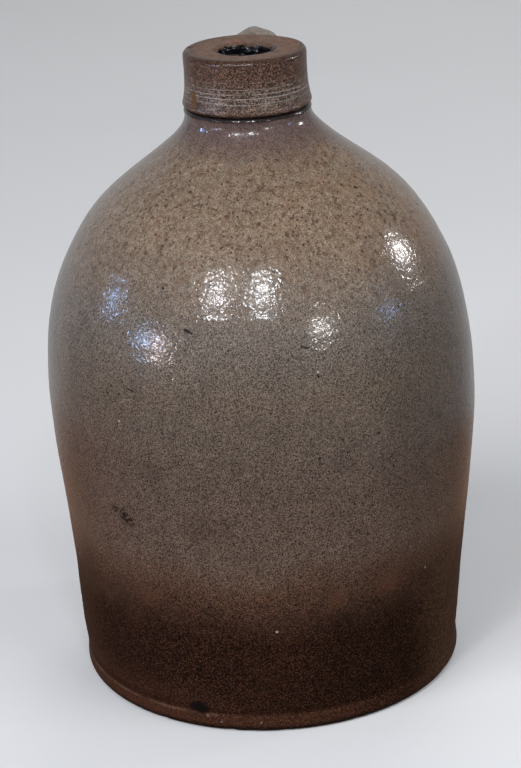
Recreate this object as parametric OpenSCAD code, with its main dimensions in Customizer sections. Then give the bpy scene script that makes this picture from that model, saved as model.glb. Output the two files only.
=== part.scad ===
// Salt-glazed stoneware jug: two thrown body sections, a tooled collar, a strap handle and a slip lining.
// The jug stands on z = 0 round the Z axis, and its handle is on the +Y side.

/* [Body] */
// Height from the table to the seat of the collar
body_h = 312.5; // [290:0.5:330]
// Radius at the widest part
belly_r = 115.5; // [100:0.1:130]
// Height of the upper section, from the joint to the seat of the collar
shoulder_h = 82.5; // [72:0.5:96]
// Height from the widest part up to the joint
belly_drop = 70; // [60:1:84]
// How far the wall draws in from the belly to the foot
foot_draw_in = 11.5; // [6:0.1:16]
// Thickness of the thrown wall
body_wall = 8; // [6.5:0.5:10]
// Thickness of the floor
floor_t = 10; // [8:0.5:14]
// Radius of the corner between floor and wall, inside
floor_corner_r = 16; // [8:1:24]

/* [Foot band] */
// How far the rolled foot band stands out from the wall above it
foot_proud = 0.6; // [0:0.1:2]
// Height of the foot band
foot_band_h = 9; // [7:0.5:12]
// Radius of the rounded lower edge
foot_round = 4.2; // [2:0.1:6]
// Height of the cove between the band and the wall
foot_cove_h = 2.5; // [1:0.1:4]

/* [Joint of the two sections] */
// How far the joint lies inside the belly's radius
seam_draw_in = 12.2; // [9:0.1:15]
// How far the wall leans in at the joint, for each unit of height
seam_lean = 0.47; // [0.35:0.01:0.6]
// How far the ridge at the joint stands out
ridge_out = 0.3; // [0.2:0.1:1]
// Height of the ridge
ridge_h = 4; // [2:0.5:6]
// Depth of the tongue in its groove
tongue_h = 4; // [2:0.5:6]
// Width of the tongue at its root
tongue_w = 3; // [2:0.1:4]

/* [Neck] */
// Radius of the neck
neck_r = 33.3; // [31:0.1:36]
// Depth of the rounded notch between the neck and the collar
notch_h = 4; // [2:0.5:6]
// Height of the spigot that carries the collar
spigot_h = 8; // [4:0.5:12]
// How far below the collar's seat the inside of the shoulder has narrowed to the bore
throat_drop = 12; // [6:1:16]

/* [Collar] */
// Height of the collar
collar_h = 29.5; // [24:0.5:36]
// How far its flared lower edge stands out from the neck
flare_out = 0.5; // [0:0.1:3]
// How far its waist lies inside the neck's radius
waist_in = 1.5; // [0.5:0.1:3]
// How far the top of its side stands out from the waist
brow_out = 0.3; // [0:0.1:2]
// Rounding of its upper edge
collar_top_round = 2.2; // [1:0.1:4]
// Rounding of its lower edge
collar_low_round = 2.2; // [1:0.1:3]
// How far the top face sinks towards the mouth
collar_dish = 0.5; // [0.4:0.1:2]

/* [Mouth and lining] */
// Radius of the mouth's bore, inside the lining
mouth_r = 14.4; // [13:0.1:17.5]
// Rounding of the mouth's edge
mouth_round = 1.3; // [1:0.1:3]
// Thickness of the slip lining
lining_t = 0.5; // [0.3:0.1:1]
// How far the lining stops below the mouth's rounding
lining_drop = 0.5; // [0.2:0.1:3]

/* [Strap handle] */
// Width of the strap at its crest
strap_w = 27; // [22:1:34]
// Thickness of the strap at its crest
strap_t = 13; // [10:0.5:15]
// Distance from the collar's waist to the crest
crest_out = 23.2; // [18:0.1:30]
// Drop from the collar's top to the crest
crest_drop = 2.5; // [1:0.5:12]
// Height from where the strap lands on the shoulder up to the seat of the collar
landing_drop = 46.5; // [40:0.5:54]
// Distance from the shoulder to the strap's bow, out from where it lands
bow_out = 11; // [8:0.5:16]
// Length of the pressed tail below the landing
tail_h = 22; // [14:1:30]
// Radius of the thumb that pressed the tail
thumb_r = 15; // [10:0.5:18]
// Depth of the thumb's print
thumb_depth = 1.5; // [0.5:0.1:2.5]

/* [Hidden] */
$fn = 96;

// Steps along one curve, along a small rounding, along the strap and round it
curve_steps = 14;
round_steps = 6;
strap_steps = 14;
strap_sides = 28;
// Overrun of a cut past what it cuts
overrun = 1;

// Heights and radii that follow
jug_h = body_h + collar_h;
wall_z = foot_band_h + foot_cove_h;
seam_z = body_h - shoulder_h;
belly_z = seam_z - belly_drop;
neck_z = body_h - notch_h;
lining_top = jug_h - collar_dish - mouth_round - lining_drop;
wall_foot_r = belly_r - foot_draw_in;
foot_r = wall_foot_r + foot_proud;
seam_r = belly_r - seam_draw_in;
seat_r = neck_r - notch_h;
bore_r = mouth_r + lining_t;
// Radius of the spigot, as a share of the way from the bore to the edge of the collar's seat
spigot_share = 0.6;
spigot_r = bore_r + spigot_share * (seat_r - bore_r);
collar_flare_r = neck_r + flare_out;
collar_waist_r = neck_r - waist_in;
collar_r = collar_waist_r + brow_out;

// Bezier handles of the wall, as shares of the rise in radius and in height
wall_curve_shares = [[0.55, 0.66], [1, 0.77]];
// Handles below and above the joint, as shares of the height to the belly and to the neck
belly_handle_shares = [0.37, 0.26];
dome_handle_shares = [0.33, 0.16];
// End of the dome's straight flank, as shares of the radius and height between joint and neck
flank_shares = [0.54, 0.605];
// How far the flank leans in for each unit of height, and its handles as shares of the height left
flank_lean = 1.31;
neck_handle_shares = [0.26, 0.28];
// Handles of the collar's side, as shares of its height
waist_handle_shares = [0.3, 0.62];
// Width and thickness along the strap, each as [share of its length, share of the crest's size]
strap_width_shares = [
    [0, 1.2], [0.12, 1.12], [0.35, 1], [0.6, 0.96], [0.75, 1.04], [0.88, 1.22], [0.94, 1.16], [0.98, 0.98], [1, 0.7]
];
strap_thickness_shares = [[0, 1.2], [0.12, 1.1], [0.35, 1], [0.6, 0.92], [0.75, 0.86], [0.9, 0.7], [1, 0.4]];
// Where the thumb pressed, as a share of the strap's length
thumb_share = 0.86;
// Share of the strap's thickness that lies outside its middle line
crown_share = 0.62;
// The crown falls off faster than a circle, and the underside is flatter
crown_power = 1.8;
underside_power = 0.8;

// Points of a cubic Bezier curve
function bezier(p, steps) = [
    for (i = [0 : steps])
        let (t = i / steps, u = 1 - t)
            u * u * u * p[0] + 3 * u * u * t * p[1] + 3 * u * t * t * p[2] + t * t * t * p[3]
];

// Points of an arc, in degrees
function arc(centre, r, from, to) = [
    for (i = [0 : round_steps])
        let (a = from + (to - from) * i / round_steps)
            centre + r * [cos(a), sin(a)]
];

// The same list without its first point, to join one curve to the next
function rest(p) = [for (i = [1 : len(p) - 1]) p[i]];

// The direction square to a curve, on the left of its run: towards the axis, for a curve that runs up
function left_of(p, i) =
    let (a = p[max(i - 1, 0)], b = p[min(i + 1, len(p) - 1)], run = (b - a) / norm(b - a))
        [-run[1], run[0]];

// A curve moved towards the axis by d
function inset(p, d) = [for (i = [0 : len(p) - 1]) p[i] + d * left_of(p, i)];

// Radius of a curve that runs up, at height z
function radius_at(p, z) = lookup(z, [for (q = p) [q[1], q[0]]]);

// Outer curves of the body, from the foot up
wall_top_z = belly_z - wall_z;
wall_curve = bezier([
    [wall_foot_r, wall_z],
    [wall_foot_r + wall_curve_shares[0][0] * (belly_r - wall_foot_r), wall_z + wall_curve_shares[0][1] * wall_top_z],
    [wall_foot_r + wall_curve_shares[1][0] * (belly_r - wall_foot_r), wall_z + wall_curve_shares[1][1] * wall_top_z],
    [belly_r, belly_z]
], curve_steps);

belly_rise = seam_z - belly_z;
belly_curve = bezier([
    [belly_r, belly_z],
    [belly_r, belly_z + belly_handle_shares[0] * belly_rise],
    [seam_r + seam_lean * belly_handle_shares[1] * belly_rise, seam_z - belly_handle_shares[1] * belly_rise],
    [seam_r, seam_z]
], curve_steps);

dome_rise = neck_z - seam_z;
dome_run = seam_r - neck_r;
flank = [seam_r - flank_shares[0] * dome_run, seam_z + flank_shares[1] * dome_rise];
dome_curve = bezier([
    [seam_r, seam_z],
    [seam_r - seam_lean * dome_handle_shares[0] * dome_rise, seam_z + dome_handle_shares[0] * dome_rise],
    flank + dome_handle_shares[1] * dome_rise * [flank_lean, -1],
    flank
], curve_steps);

neck_rise = neck_z - flank[1];
neck_curve = bezier([
    flank,
    flank + neck_handle_shares[0] * neck_rise * [-flank_lean, 1],
    [neck_r, neck_z - neck_handle_shares[1] * neck_rise],
    [neck_r, neck_z]
], curve_steps);

body_curve = concat(wall_curve, rest(belly_curve), rest(dome_curve));

// Outline of the foot: flat underside, rounded edge, band and cove
foot_outline = concat(
    [[0, 0]],
    arc([foot_r - foot_round, foot_round], foot_round, -90, 0),
    [[foot_r, foot_band_h]]
);

// Outline of the body's outside, with the spigot on top
outer_outline = concat(
    foot_outline,
    body_curve,
    rest(neck_curve),
    rest(arc([seat_r, neck_z], notch_h, 0, 90)),
    [[spigot_r, body_h], [spigot_r, body_h + spigot_h], [0, body_h + spigot_h]]
);

// Outline of the cavity, moved inwards by d: floor, corner, wall, throat and bore
function cavity_outline(d) =
    let (
        wall = inset(body_curve, body_wall + d),
        corner_r = floor_corner_r - d,
        corner_z = floor_t + floor_corner_r,
        corner = arc([radius_at(wall, corner_z) - corner_r, corner_z], corner_r, -90, 0),
        end = wall[len(wall) - 1],
        throat_z = body_h - throat_drop,
        bore = bore_r - d,
        throat_rise = throat_z - end[1],
        throat = bezier([
            end,
            end + neck_handle_shares[0] * throat_rise * [-flank_lean, 1],
            [bore, throat_z - neck_handle_shares[1] * throat_rise],
            [bore, throat_z]
        ], round_steps)
    )
        concat(
            [[0, floor_t + d]],
            corner,
            [for (q = wall) if (q[1] > corner_z) q],
            rest(throat),
            [[bore, jug_h + overrun], [0, jug_h + overrun]]
        );

// The tongue of the upper section, in the middle of the wall
tongue_r = seam_r - body_wall / 2;
tongue_tip_share = 0.6;
module tongue_half() {
    tip = tongue_w * tongue_tip_share / 2;
    polygon([
        [tongue_r - tongue_w / 2, seam_z],
        [tongue_r - tip, seam_z - tongue_h],
        [tongue_r + tip, seam_z - tongue_h],
        [tongue_r + tongue_w / 2, seam_z]
    ]);
}

// Half section of both body sections
module body_half() {
    difference() {
        polygon(outer_outline);
        polygon(cavity_outline(0));
    }
}

// Everything below the joint
module below_joint() {
    square([belly_r + overrun, seam_z]);
}

// The throwing ridge at the joint, on the rim of the lower section
module ridge_half() {
    polygon([
        [radius_at(body_curve, seam_z - ridge_h), seam_z - ridge_h],
        [radius_at(body_curve, seam_z - ridge_h / 2) + ridge_out, seam_z - ridge_h / 2],
        [seam_r + ridge_out / 2, seam_z],
        [seam_r - ridge_out, seam_z]
    ]);
}

module lower_body() {
    color("#8a7c66")
        rotate_extrude()
            difference() {
                union() {
                    intersection() {
                        body_half();
                        below_joint();
                    }
                    ridge_half();
                }
                tongue_half();
            }
}

module shoulder() {
    color("#9c8360")
        rotate_extrude()
            union() {
                difference() {
                    body_half();
                    below_joint();
                }
                tongue_half();
            }
}

// Outline of the collar's outside, from its seat up and over to the axis
collar_side = bezier([
    [collar_flare_r, body_h + collar_low_round],
    [collar_waist_r, body_h + waist_handle_shares[0] * collar_h],
    [collar_waist_r, body_h + waist_handle_shares[1] * collar_h],
    [collar_r, jug_h - collar_top_round]
], curve_steps);
mouth_edge_r = bore_r + mouth_round;
collar_outline = concat(
    [[0, body_h]],
    arc([collar_flare_r - collar_low_round, body_h + collar_low_round], collar_low_round, -90, 0),
    rest(collar_side),
    rest(arc([collar_r - collar_top_round, jug_h - collar_top_round], collar_top_round, 0, 90)),
    arc([mouth_edge_r, jug_h - collar_dish - mouth_round], mouth_round, 90, 180),
    [[bore_r, body_h], [0, body_h]]
);

module collar() {
    color("#7d6247")
        rotate_extrude()
            difference() {
                polygon([for (i = [1 : len(collar_outline) - 2]) collar_outline[i]]);
                translate([0, body_h - overrun])
                    square([spigot_r, spigot_h + overrun]);
            }
}

// Middle line of the strap in the plane of y and z: it rises from the collar, falls and lies on the shoulder
landing_z = body_h - landing_drop;
landing = [radius_at(body_curve, landing_z), landing_z];
tail_z = landing_z - tail_h;
crest = [collar_waist_r + crest_out, jug_h - crest_drop - crown_share * strap_t];
root = [collar_waist_r - strap_t / 2, body_h + strap_t / 4];
touch = landing + bow_out * [1, 0] + [0, tail_h / 4];
tail = [radius_at(body_curve, tail_z) - strap_t / 4, tail_z];
strap_line = concat(
    bezier([root, root + [strap_t, strap_t], crest - [strap_t, 0], crest], strap_steps),
    rest(bezier([crest, crest + [2 * strap_t, 0], touch + [strap_t / 2, 3 * strap_t], touch], strap_steps)),
    rest(bezier([touch, touch - [strap_t / 4, strap_t * 3 / 4], tail + [-strap_t / 2, strap_t], tail], strap_steps))
);

// The strap's width or thickness at ring i
strap_last = len(strap_line) - 1;
function strap_size(i, size, shares) = size * lookup(i / strap_last, shares);

// One ring of the strap: its section, square to the middle line, with a crowned outside
function strap_ring(i) =
    let (
        w = strap_size(i, strap_w, strap_width_shares),
        t = strap_size(i, strap_t, strap_thickness_shares)
    )
        [
            for (k = [0 : strap_sides - 1])
                let (
                    turn = 360 * k / strap_sides,
                    high = sin(turn) > 0 ? crown_share * pow(sin(turn), crown_power)
                        : (crown_share - 1) * pow(-sin(turn), underside_power),
                    q = strap_line[i] + t * high * left_of(strap_line, i)
                )
                    [w / 2 * cos(turn), q[0], q[1]]
        ];

module strap_solid() {
    rings = len(strap_line);
    points = [for (i = [0 : rings - 1]) each strap_ring(i)];
    sides = [
        for (i = [0 : rings - 2], k = [0 : strap_sides - 1])
            let (a = i * strap_sides + k, b = i * strap_sides + (k + 1) % strap_sides)
                each [[a, a + strap_sides, b], [b, a + strap_sides, b + strap_sides]]
    ];
    first = [for (k = [0 : strap_sides - 1]) k];
    last = [for (k = [strap_sides - 1 : -1 : 0]) (rings - 1) * strap_sides + k];
    polyhedron(points, concat([first], sides, [last]));
}

// The thumb's print, sunk in the outside of the tail
thumb_ring = round(thumb_share * strap_last);
thumb_lift = crown_share * strap_size(thumb_ring, strap_t, strap_thickness_shares) - thumb_depth + thumb_r;
thumb = strap_line[thumb_ring] + thumb_lift * left_of(strap_line, thumb_ring);

// The root is cut off square at the edge of the notch, which stays open behind it
module strap_handle() {
    color("#a39a88")
        difference() {
            strap_solid();
            rotate_extrude()
                polygon(outer_outline);
            rotate_extrude()
                polygon(collar_outline);
            cylinder(r = collar_flare_r - collar_low_round, h = jug_h);
            translate([0, thumb[0], thumb[1]])
                sphere(thumb_r);
        }
}

module slip_lining() {
    color("#1d1b1c")
        rotate_extrude()
            intersection() {
                difference() {
                    polygon(cavity_outline(0));
                    polygon(cavity_outline(lining_t));
                }
                square([belly_r, lining_top]);
            }
}

lower_body();
shoulder();
collar();
strap_handle();
slip_lining();
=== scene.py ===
"""Salt-glazed stoneware jug: two thrown sections, a tooled collar, a strap handle and a dark slip inside."""

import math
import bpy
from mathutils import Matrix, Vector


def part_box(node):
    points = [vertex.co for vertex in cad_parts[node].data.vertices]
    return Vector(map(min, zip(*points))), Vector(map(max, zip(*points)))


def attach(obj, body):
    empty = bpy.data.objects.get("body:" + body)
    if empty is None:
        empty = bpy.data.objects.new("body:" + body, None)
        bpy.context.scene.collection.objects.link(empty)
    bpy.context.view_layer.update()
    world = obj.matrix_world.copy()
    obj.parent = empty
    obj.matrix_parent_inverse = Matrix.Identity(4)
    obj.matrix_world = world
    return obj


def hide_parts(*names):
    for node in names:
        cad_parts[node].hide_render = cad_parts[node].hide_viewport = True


bl_info = {
    "name": "Stoneware Jug",
    "version": (1, 0, 0),
    "blender": (4, 5, 0),
    "location": "3D View > Sidebar > Jug",
    "description": "Builds a salt-glazed stoneware jug and its studio",
    "category": "Object",
}

import bmesh
import bpy
from bpy.props import FloatProperty, FloatVectorProperty, IntProperty, PointerProperty
from mathutils import Matrix, Vector, noise
from mathutils.bvhtree import BVHTree

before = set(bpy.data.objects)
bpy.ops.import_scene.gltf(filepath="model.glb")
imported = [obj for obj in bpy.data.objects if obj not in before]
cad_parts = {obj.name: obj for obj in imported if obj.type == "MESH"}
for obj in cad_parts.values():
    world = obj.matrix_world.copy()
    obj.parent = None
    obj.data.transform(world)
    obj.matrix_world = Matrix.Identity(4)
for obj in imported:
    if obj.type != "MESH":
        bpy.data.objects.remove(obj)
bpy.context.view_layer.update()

MM = 0.001
PHOTO_W = 521
PHOTO_H = 768
SENSOR = 36.0

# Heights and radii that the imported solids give
COLLAR_LOW, COLLAR_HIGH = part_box("collar")
BODY_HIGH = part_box("lower_body")[1]
JUG_H = COLLAR_HIGH.z
SEAT_Z = COLLAR_LOW.z
SEAM_Z = BODY_HIGH.z
BELLY_R = BODY_HIGH.x

# Bezier handles of the outlines, the same shares as the solids have
WALL_SHARES = ((0.55, 0.66), (1.0, 0.77))
BELLY_SHARES = (0.37, 0.26)
DOME_SHARES = (0.33, 0.16)
FLANK_SHARES = (0.54, 0.605)
FLANK_LEAN = 1.31
NECK_SHARES = (0.26, 0.28)
WAIST_SHARES = (0.3, 0.62)
# How much of the way from the bore to the collar's seat the spigot takes up
SPIGOT_SHARE = 0.6
# The strap's width and thickness along its line, as shares of those at its crest
STRAP_WIDTH_SHARES = (
    (0, 1.2), (0.12, 1.12), (0.35, 1), (0.6, 0.96), (0.75, 1.04),
    (0.88, 1.22), (0.94, 1.16), (0.98, 0.98), (1, 0.7),
)
STRAP_THICKNESS_SHARES = ((0, 1.2), (0.12, 1.1), (0.35, 1), (0.6, 0.92), (0.75, 0.86), (0.9, 0.7), (1, 0.4))
# Where along the strap the thumb pressed it, and how its section is crowned
THUMB_SHARE = 0.86
CROWN_SHARE = 0.62
CROWN_POWER = 1.8
UNDERSIDE_POWER = 0.8
# The ribs that the pull left on the strap: height as a share of its thickness, and their wave across it
RIB_SHARE = 0.028
RIB_TURNS = 7.5
RIB_START = 0.8
# How far the strap wanders sideways
STRAP_WAVE = 0.35 * MM

# Vertices closer than this are one, edges shorter than a sliver go, and a hair is a place just inside an edge
WELD = 1e-6
SLIVER = 1e-7
HAIR = 1e-5

# Distances between the rings of vertices
FOOT_STEP = 0.9 * MM
WALL_STEP = 1.6 * MM
WALL_INSIDE_STEP = 6 * MM
DOME_STEP = 1.3 * MM
INSIDE_STEP = 5 * MM
COLLAR_STEP = 0.45 * MM
COLLAR_FACE_STEP = 0.8 * MM
COLLAR_BORE_STEP = 1.5 * MM
LINING_BORE_STEP = 1.0 * MM
# Rings of the strap in each of its three curves, and vertices in a ring
STRAP_STEPS = 26
STRAP_SIDES = 56

# How far the thrown jug strays to the right of the photograph: height and sway, in millimetres
SWAY = (
    (0, 0.75), (7, 0.45), (17, 0.35), (27, 0.3), (45, 0.55), (70, 1.2), (100, 1.5), (143, 1.2), (170, 0.5),
    (200, -0.05), (212, 0.05), (230, 0.35), (250, 0.7), (275, 1.7), (295, 1.3), (313, -0.4), (342, -0.7),
)
# How far the thrown wall draws in from its even outline: height and depth in mm, which may be below zero
TRIM = (
    (0, 0.3), (7, 0.65), (17, 0.25), (27, -0.1), (42, 0), (60, 0.3), (100, 0.25), (150, 0.5),
    (200, 0.62), (230, 0.64), (252, 0.5), (275, 0.22), (290, 0),
)
# Fine rings at the neck: their pitch and height
NECK_RING_PITCH = 2.6 * MM
NECK_RING_DEPTH = 0.03 * MM
# Nicks in the foot: turn in degrees, height, radius and depth in mm
FOOT_NICKS = (
    (-98, 1.5, 3.2, 0.6),
    (-93, 2.0, 2.4, 0.45),
    (-82, 1.2, 3.0, 0.5),
    (-120, 2.5, 3.5, 0.4),
    (-60, 2.0, 3.0, 0.3),
    (-20, 2.0, 4.0, 0.2),
    (35, 2.5, 3.5, 0.7),
    (118, 2.0, 4.0, 0.8),
    (170, 2.0, 3.0, 0.6),
)
# The chip in the collar's rim: its pixel, the radii where it ends and is full, and its depth inwards and down
RIM_CHIP = (189.5, 47.0)
CHIP_R = 2.6 * MM
CHIP_FULL_R = 0.6 * MM
CHIP_IN = 0.8 * MM
CHIP_DOWN = 0.7 * MM
# Unevenness of the collar's side and of its top, and how far down the top's reaches
SIDE_WAVE = 0.22 * MM
TOP_WAVE = 0.25 * MM
TOP_REACH = 8 * MM
# This near to the bore and the seat the collar keeps its shape, and this far from the mouth its side begins
SEAT_MARGIN = 0.3 * MM
SIDE_MARGIN = 6 * MM
# Throwing lines of the collar's side: height above the seat, half width and depth in mm
COLLAR_LINES = (
    (8.4, 0.55, 0.10),
    (10.3, 0.5, 0.16),
    (12.0, 0.5, 0.12),
    (5.2, 0.8, 0.06),
    (15.4, 0.7, 0.07),
    (19.6, 0.9, 0.05),
)
# The slip's edge curls this far round the mouth's lip, and is this thick at its end
LIP_TURN = math.radians(100)
LIP_STEPS = 16
LIP_SKIN = 0.12 * MM
# Gap between the clay and the slip's outer skin
SKIN_GAP = 0.02 * MM
# Lumps of slip in the bore: height, and how far below the collar's top they begin and are full
LUMP_H = 1.6 * MM
LUMP_START = 16 * MM
LUMP_FULL = 11 * MM


def length(name, description, default):
    """A length property, given in millimetres."""
    return FloatProperty(name=name, description=description, default=default * MM, unit="LENGTH", precision=4)


def share(name, description, default, low=0.0, high=1.0):
    """A property without a unit."""
    return FloatProperty(name=name, description=description, default=default, min=low, max=high)


def angle(name, description, default):
    """An angle property, given in degrees."""
    return FloatProperty(name=name, description=description, default=math.radians(default), subtype="ANGLE")


def colour(name, description, default):
    """A colour property, linear."""
    return FloatVectorProperty(
        name=name, description=description, default=default, subtype="COLOR", size=3, min=0.0, max=1.0
    )


class JugSizes(bpy.types.PropertyGroup):
    """Sizes of the jug."""

    belly_drop: length("Belly drop", "From the widest part up to the joint", 70)
    foot_draw_in: length("Foot draw-in", "How far the wall draws in from the belly to the foot", 11.5)
    body_wall: length("Wall", "Thickness of the thrown wall", 8)
    floor_t: length("Floor", "Thickness of the floor", 10)
    floor_corner_r: length("Floor corner", "Radius of the corner inside", 16)
    foot_proud: length("Foot proud", "How far the foot band stands out from the wall", 0.2)
    foot_band_h: length("Foot band", "Height of the foot band", 9)
    foot_round: length("Foot rounding", "Radius of the rounded lower edge", 4.2)
    foot_cove_h: length("Foot cove", "Height of the cove above the band", 2.5)
    seam_draw_in: length("Joint draw-in", "How far the joint lies inside the belly's radius", 12.2)
    seam_lean: share("Joint lean", "How far the wall leans in at the joint for each unit of height", 0.47)
    ridge_out: length("Ridge", "How far the lower section swells at the joint", 0.03)
    ridge_h: length("Ridge height", "Height of the swelling below the joint", 6)
    ridge_in: length("Ridge hollow", "How far the upper section draws in above the joint", 0.03)
    ridge_fade: length("Ridge fade", "How soon the hollow above the joint is reached", 4)
    neck_r: length("Neck", "Radius of the neck", 33.3)
    notch_h: length("Notch", "Depth of the notch between neck and collar", 4)
    pool_h: length("Pool", "Height left open in the notch, over the pooled glaze", 2.0)
    throat_drop: length("Throat", "How far below the collar the inside has narrowed to the bore", 12)
    flare_out: length("Collar flare", "How far the collar's lower edge stands out from the neck", 0.5)
    waist_in: length("Collar waist", "How far the collar's waist lies inside the neck's radius", 1.5)
    brow_out: length("Collar brow", "How far the top of the collar's side stands out from its waist", 0.3)
    collar_top_round: length("Collar top rounding", "Rounding of the collar's upper edge", 2.8)
    collar_low_round: length("Collar low rounding", "Rounding of the collar's lower edge", 2.2)
    collar_dish: length("Collar dish", "How far the top face sinks towards the mouth", 0.5)
    spigot_h: length("Spigot", "Height of the spigot inside the collar", 8)
    mouth_r: length("Mouth", "Radius of the bore inside the lining", 14.4)
    mouth_round: length("Mouth rounding", "Rounding of the mouth's edge", 1.3)
    lining_t: length("Lining", "Thickness of the slip lining", 0.5)
    strap_w: length("Strap width", "Width of the strap at its crest", 27)
    strap_t: length("Strap thickness", "Thickness of the strap at its crest", 13)
    crest_out: length("Crest reach", "From the collar's waist to the strap's crest", 23.2)
    crest_drop: length("Crest drop", "From the collar's top down to the crest", 2.5)
    landing_drop: length("Landing drop", "From the collar's seat down to where the strap lands", 46.5)
    bow_out: length("Bow", "How far the strap bows out from where it lands", 11)
    tail_h: length("Tail", "Length of the pressed tail below the landing", 22)
    thumb_r: length("Thumb", "Radius of the thumb that pressed the tail", 15)
    thumb_depth: length("Thumb print", "Depth of the thumb's print", 1.5)
    ring_depth: length("Throwing rings", "Height of the rings left by the fingers", 0.05)
    ring_pitch: length("Ring pitch", "Distance from one throwing ring to the next", 7.5)
    wobble: length("Wobble", "How far the thrown wall strays from a true circle", 0.35)
    steps: IntProperty(name="Steps", description="Steps round the jug", default=288, min=64, max=512)


class JugColours(bpy.types.PropertyGroup):
    """Colours of the clay, the glaze and the slip."""

    buff: colour("Buff", "Glaze on the shoulder", (0.184, 0.140, 0.103))
    grey: colour("Grey", "Glaze just under the joint", (0.116, 0.097, 0.083))
    dun: colour("Dun", "Glaze at the belly", (0.0960, 0.0710, 0.0530))
    umber: colour("Umber", "Glaze low on the wall", (0.0835, 0.0600, 0.0470))
    tan: colour("Tan", "Warmer glaze over the flashed band", (0.0880, 0.0600, 0.0455))
    fringe: colour("Fringe", "Rusty upper edge of the flashed band", (0.085, 0.046, 0.0285))
    chocolate: colour("Chocolate", "Flashed band above the foot", (0.0138, 0.0055, 0.0039))
    rust: colour("Rust", "Thin glaze on the foot", (0.042, 0.0165, 0.0096))
    plum: colour("Plum", "Tint round the neck", (0.080, 0.052, 0.050))
    iron: colour("Iron", "Iron spots in the clay", (0.030, 0.014, 0.008))
    russet: colour("Russet", "Soft brown mottle of the shoulder", (0.105, 0.056, 0.029))
    # Also the colour of the painted shade under the collar and of the painted contact shadow at the sole
    soot_and_shade: colour("Soot", "Pits and burnt specks", (0.006, 0.004, 0.004))
    salt: colour("Salt", "Pale grains of the glaze", (0.40, 0.36, 0.32))
    ember: colour("Ember", "Orange grains in the flashed band", (0.110, 0.050, 0.024))
    collar_brown: colour("Collar brown", "Thin brown glaze on the collar", (0.070, 0.0315, 0.0178))
    collar_grey: colour("Collar grey", "Thicker glaze low on the collar", (0.085, 0.0605, 0.0497))
    dry_clay: colour("Dry clay", "Bare top of the collar", (0.136, 0.078, 0.053))
    flush: colour("Flush", "Reddish flush of the clay at the mouth", (0.26, 0.075, 0.045))
    ochre: colour("Ochre", "Runs of rusty glaze", (0.085, 0.036, 0.006))
    strap: colour("Strap", "Glaze on the handle", (0.19, 0.150, 0.122))
    slip: colour("Slip", "Dark slip inside", (0.004, 0.004, 0.0055))
    paper: colour("Floor", "The studio floor", (0.64, 0.66, 0.685))


class StudioSettings(bpy.types.PropertyGroup):
    """Camera and light."""

    distance: length("Distance", "From the camera to the jug's axis, on the floor", 1162.8)
    height: length("Height", "Height of the camera", 608.4)
    azimuth: angle("Azimuth", "Turn of the camera round the jug", 5.5)
    pitch: angle("Pitch", "How far the camera looks down", 21.25)
    roll: angle("Roll", "Tilt of the camera", 2.53)
    focal: FloatProperty(name="Focal length", description="In pixels of the photograph", default=2299.9)
    world: share("World light", "Strength of the light all round", 0.2, high=5.0)
    key_fill: share("Key fill", "Power of the wide light at the upper left, in watts", 62.0, high=500.0)
    side_fill: share("Side fill", "Power of the wide light at the right, in watts", 26.0, high=500.0)
    back_fill: share("Back fill", "Power of the wide light behind, in watts", 22.0, high=500.0)


def sizes():
    """The size settings."""
    return bpy.context.scene.jug_sizes


def colours():
    """The colour settings."""
    return bpy.context.scene.jug_colours


def studio():
    """The studio settings."""
    return bpy.context.scene.jug_studio


# Outlines in the plane of radius and height

def bezier(points, steps):
    """Points of a cubic Bezier curve."""
    a, b, c, d = (Vector(p) for p in points)
    out = []
    for i in range(steps + 1):
        t = i / steps
        u = 1 - t
        out.append(u ** 3 * a + 3 * u * u * t * b + 3 * u * t * t * c + t ** 3 * d)
    return out


def arc(centre, radius, start, end, steps):
    """Points of an arc, in degrees."""
    out = []
    for i in range(steps + 1):
        turn = math.radians(start + (end - start) * i / steps)
        out.append(Vector(centre) + radius * Vector((math.cos(turn), math.sin(turn))))
    return out


def left_of(line, i):
    """The direction square to a line, on the left of its run."""
    run = (line[min(i + 1, len(line) - 1)] - line[max(i - 1, 0)]).normalized()
    return Vector((-run.y, run.x))


def inset(line, depth):
    """A line moved to the left of its run."""
    return [p + depth * left_of(line, i) for i, p in enumerate(line)]


def lookup(value, table):
    """A value read between the rows of a table."""
    for (a, low), (b, high) in zip(table, table[1:]):
        if value <= b:
            return low + (high - low) * (value - a) / (b - a)
    return table[-1][1]


def radius_at(line, z):
    """Radius of a line that runs up, at one height."""
    return lookup(z, [(p.y, p.x) for p in line])


def even(line, step):
    """The same line with its points about one step apart."""
    run = [0.0]
    for a, b in zip(line, line[1:]):
        run.append(run[-1] + (b - a).length)
    count = max(1, round(run[-1] / step))
    out = []
    at = 0
    for i in range(count + 1):
        want = run[-1] * i / count
        while at < len(run) - 2 and run[at + 1] < want:
            at += 1
        gap = run[at + 1] - run[at]
        out.append(line[at].lerp(line[at + 1], (want - run[at]) / gap if gap else 0))
    return out


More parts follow.
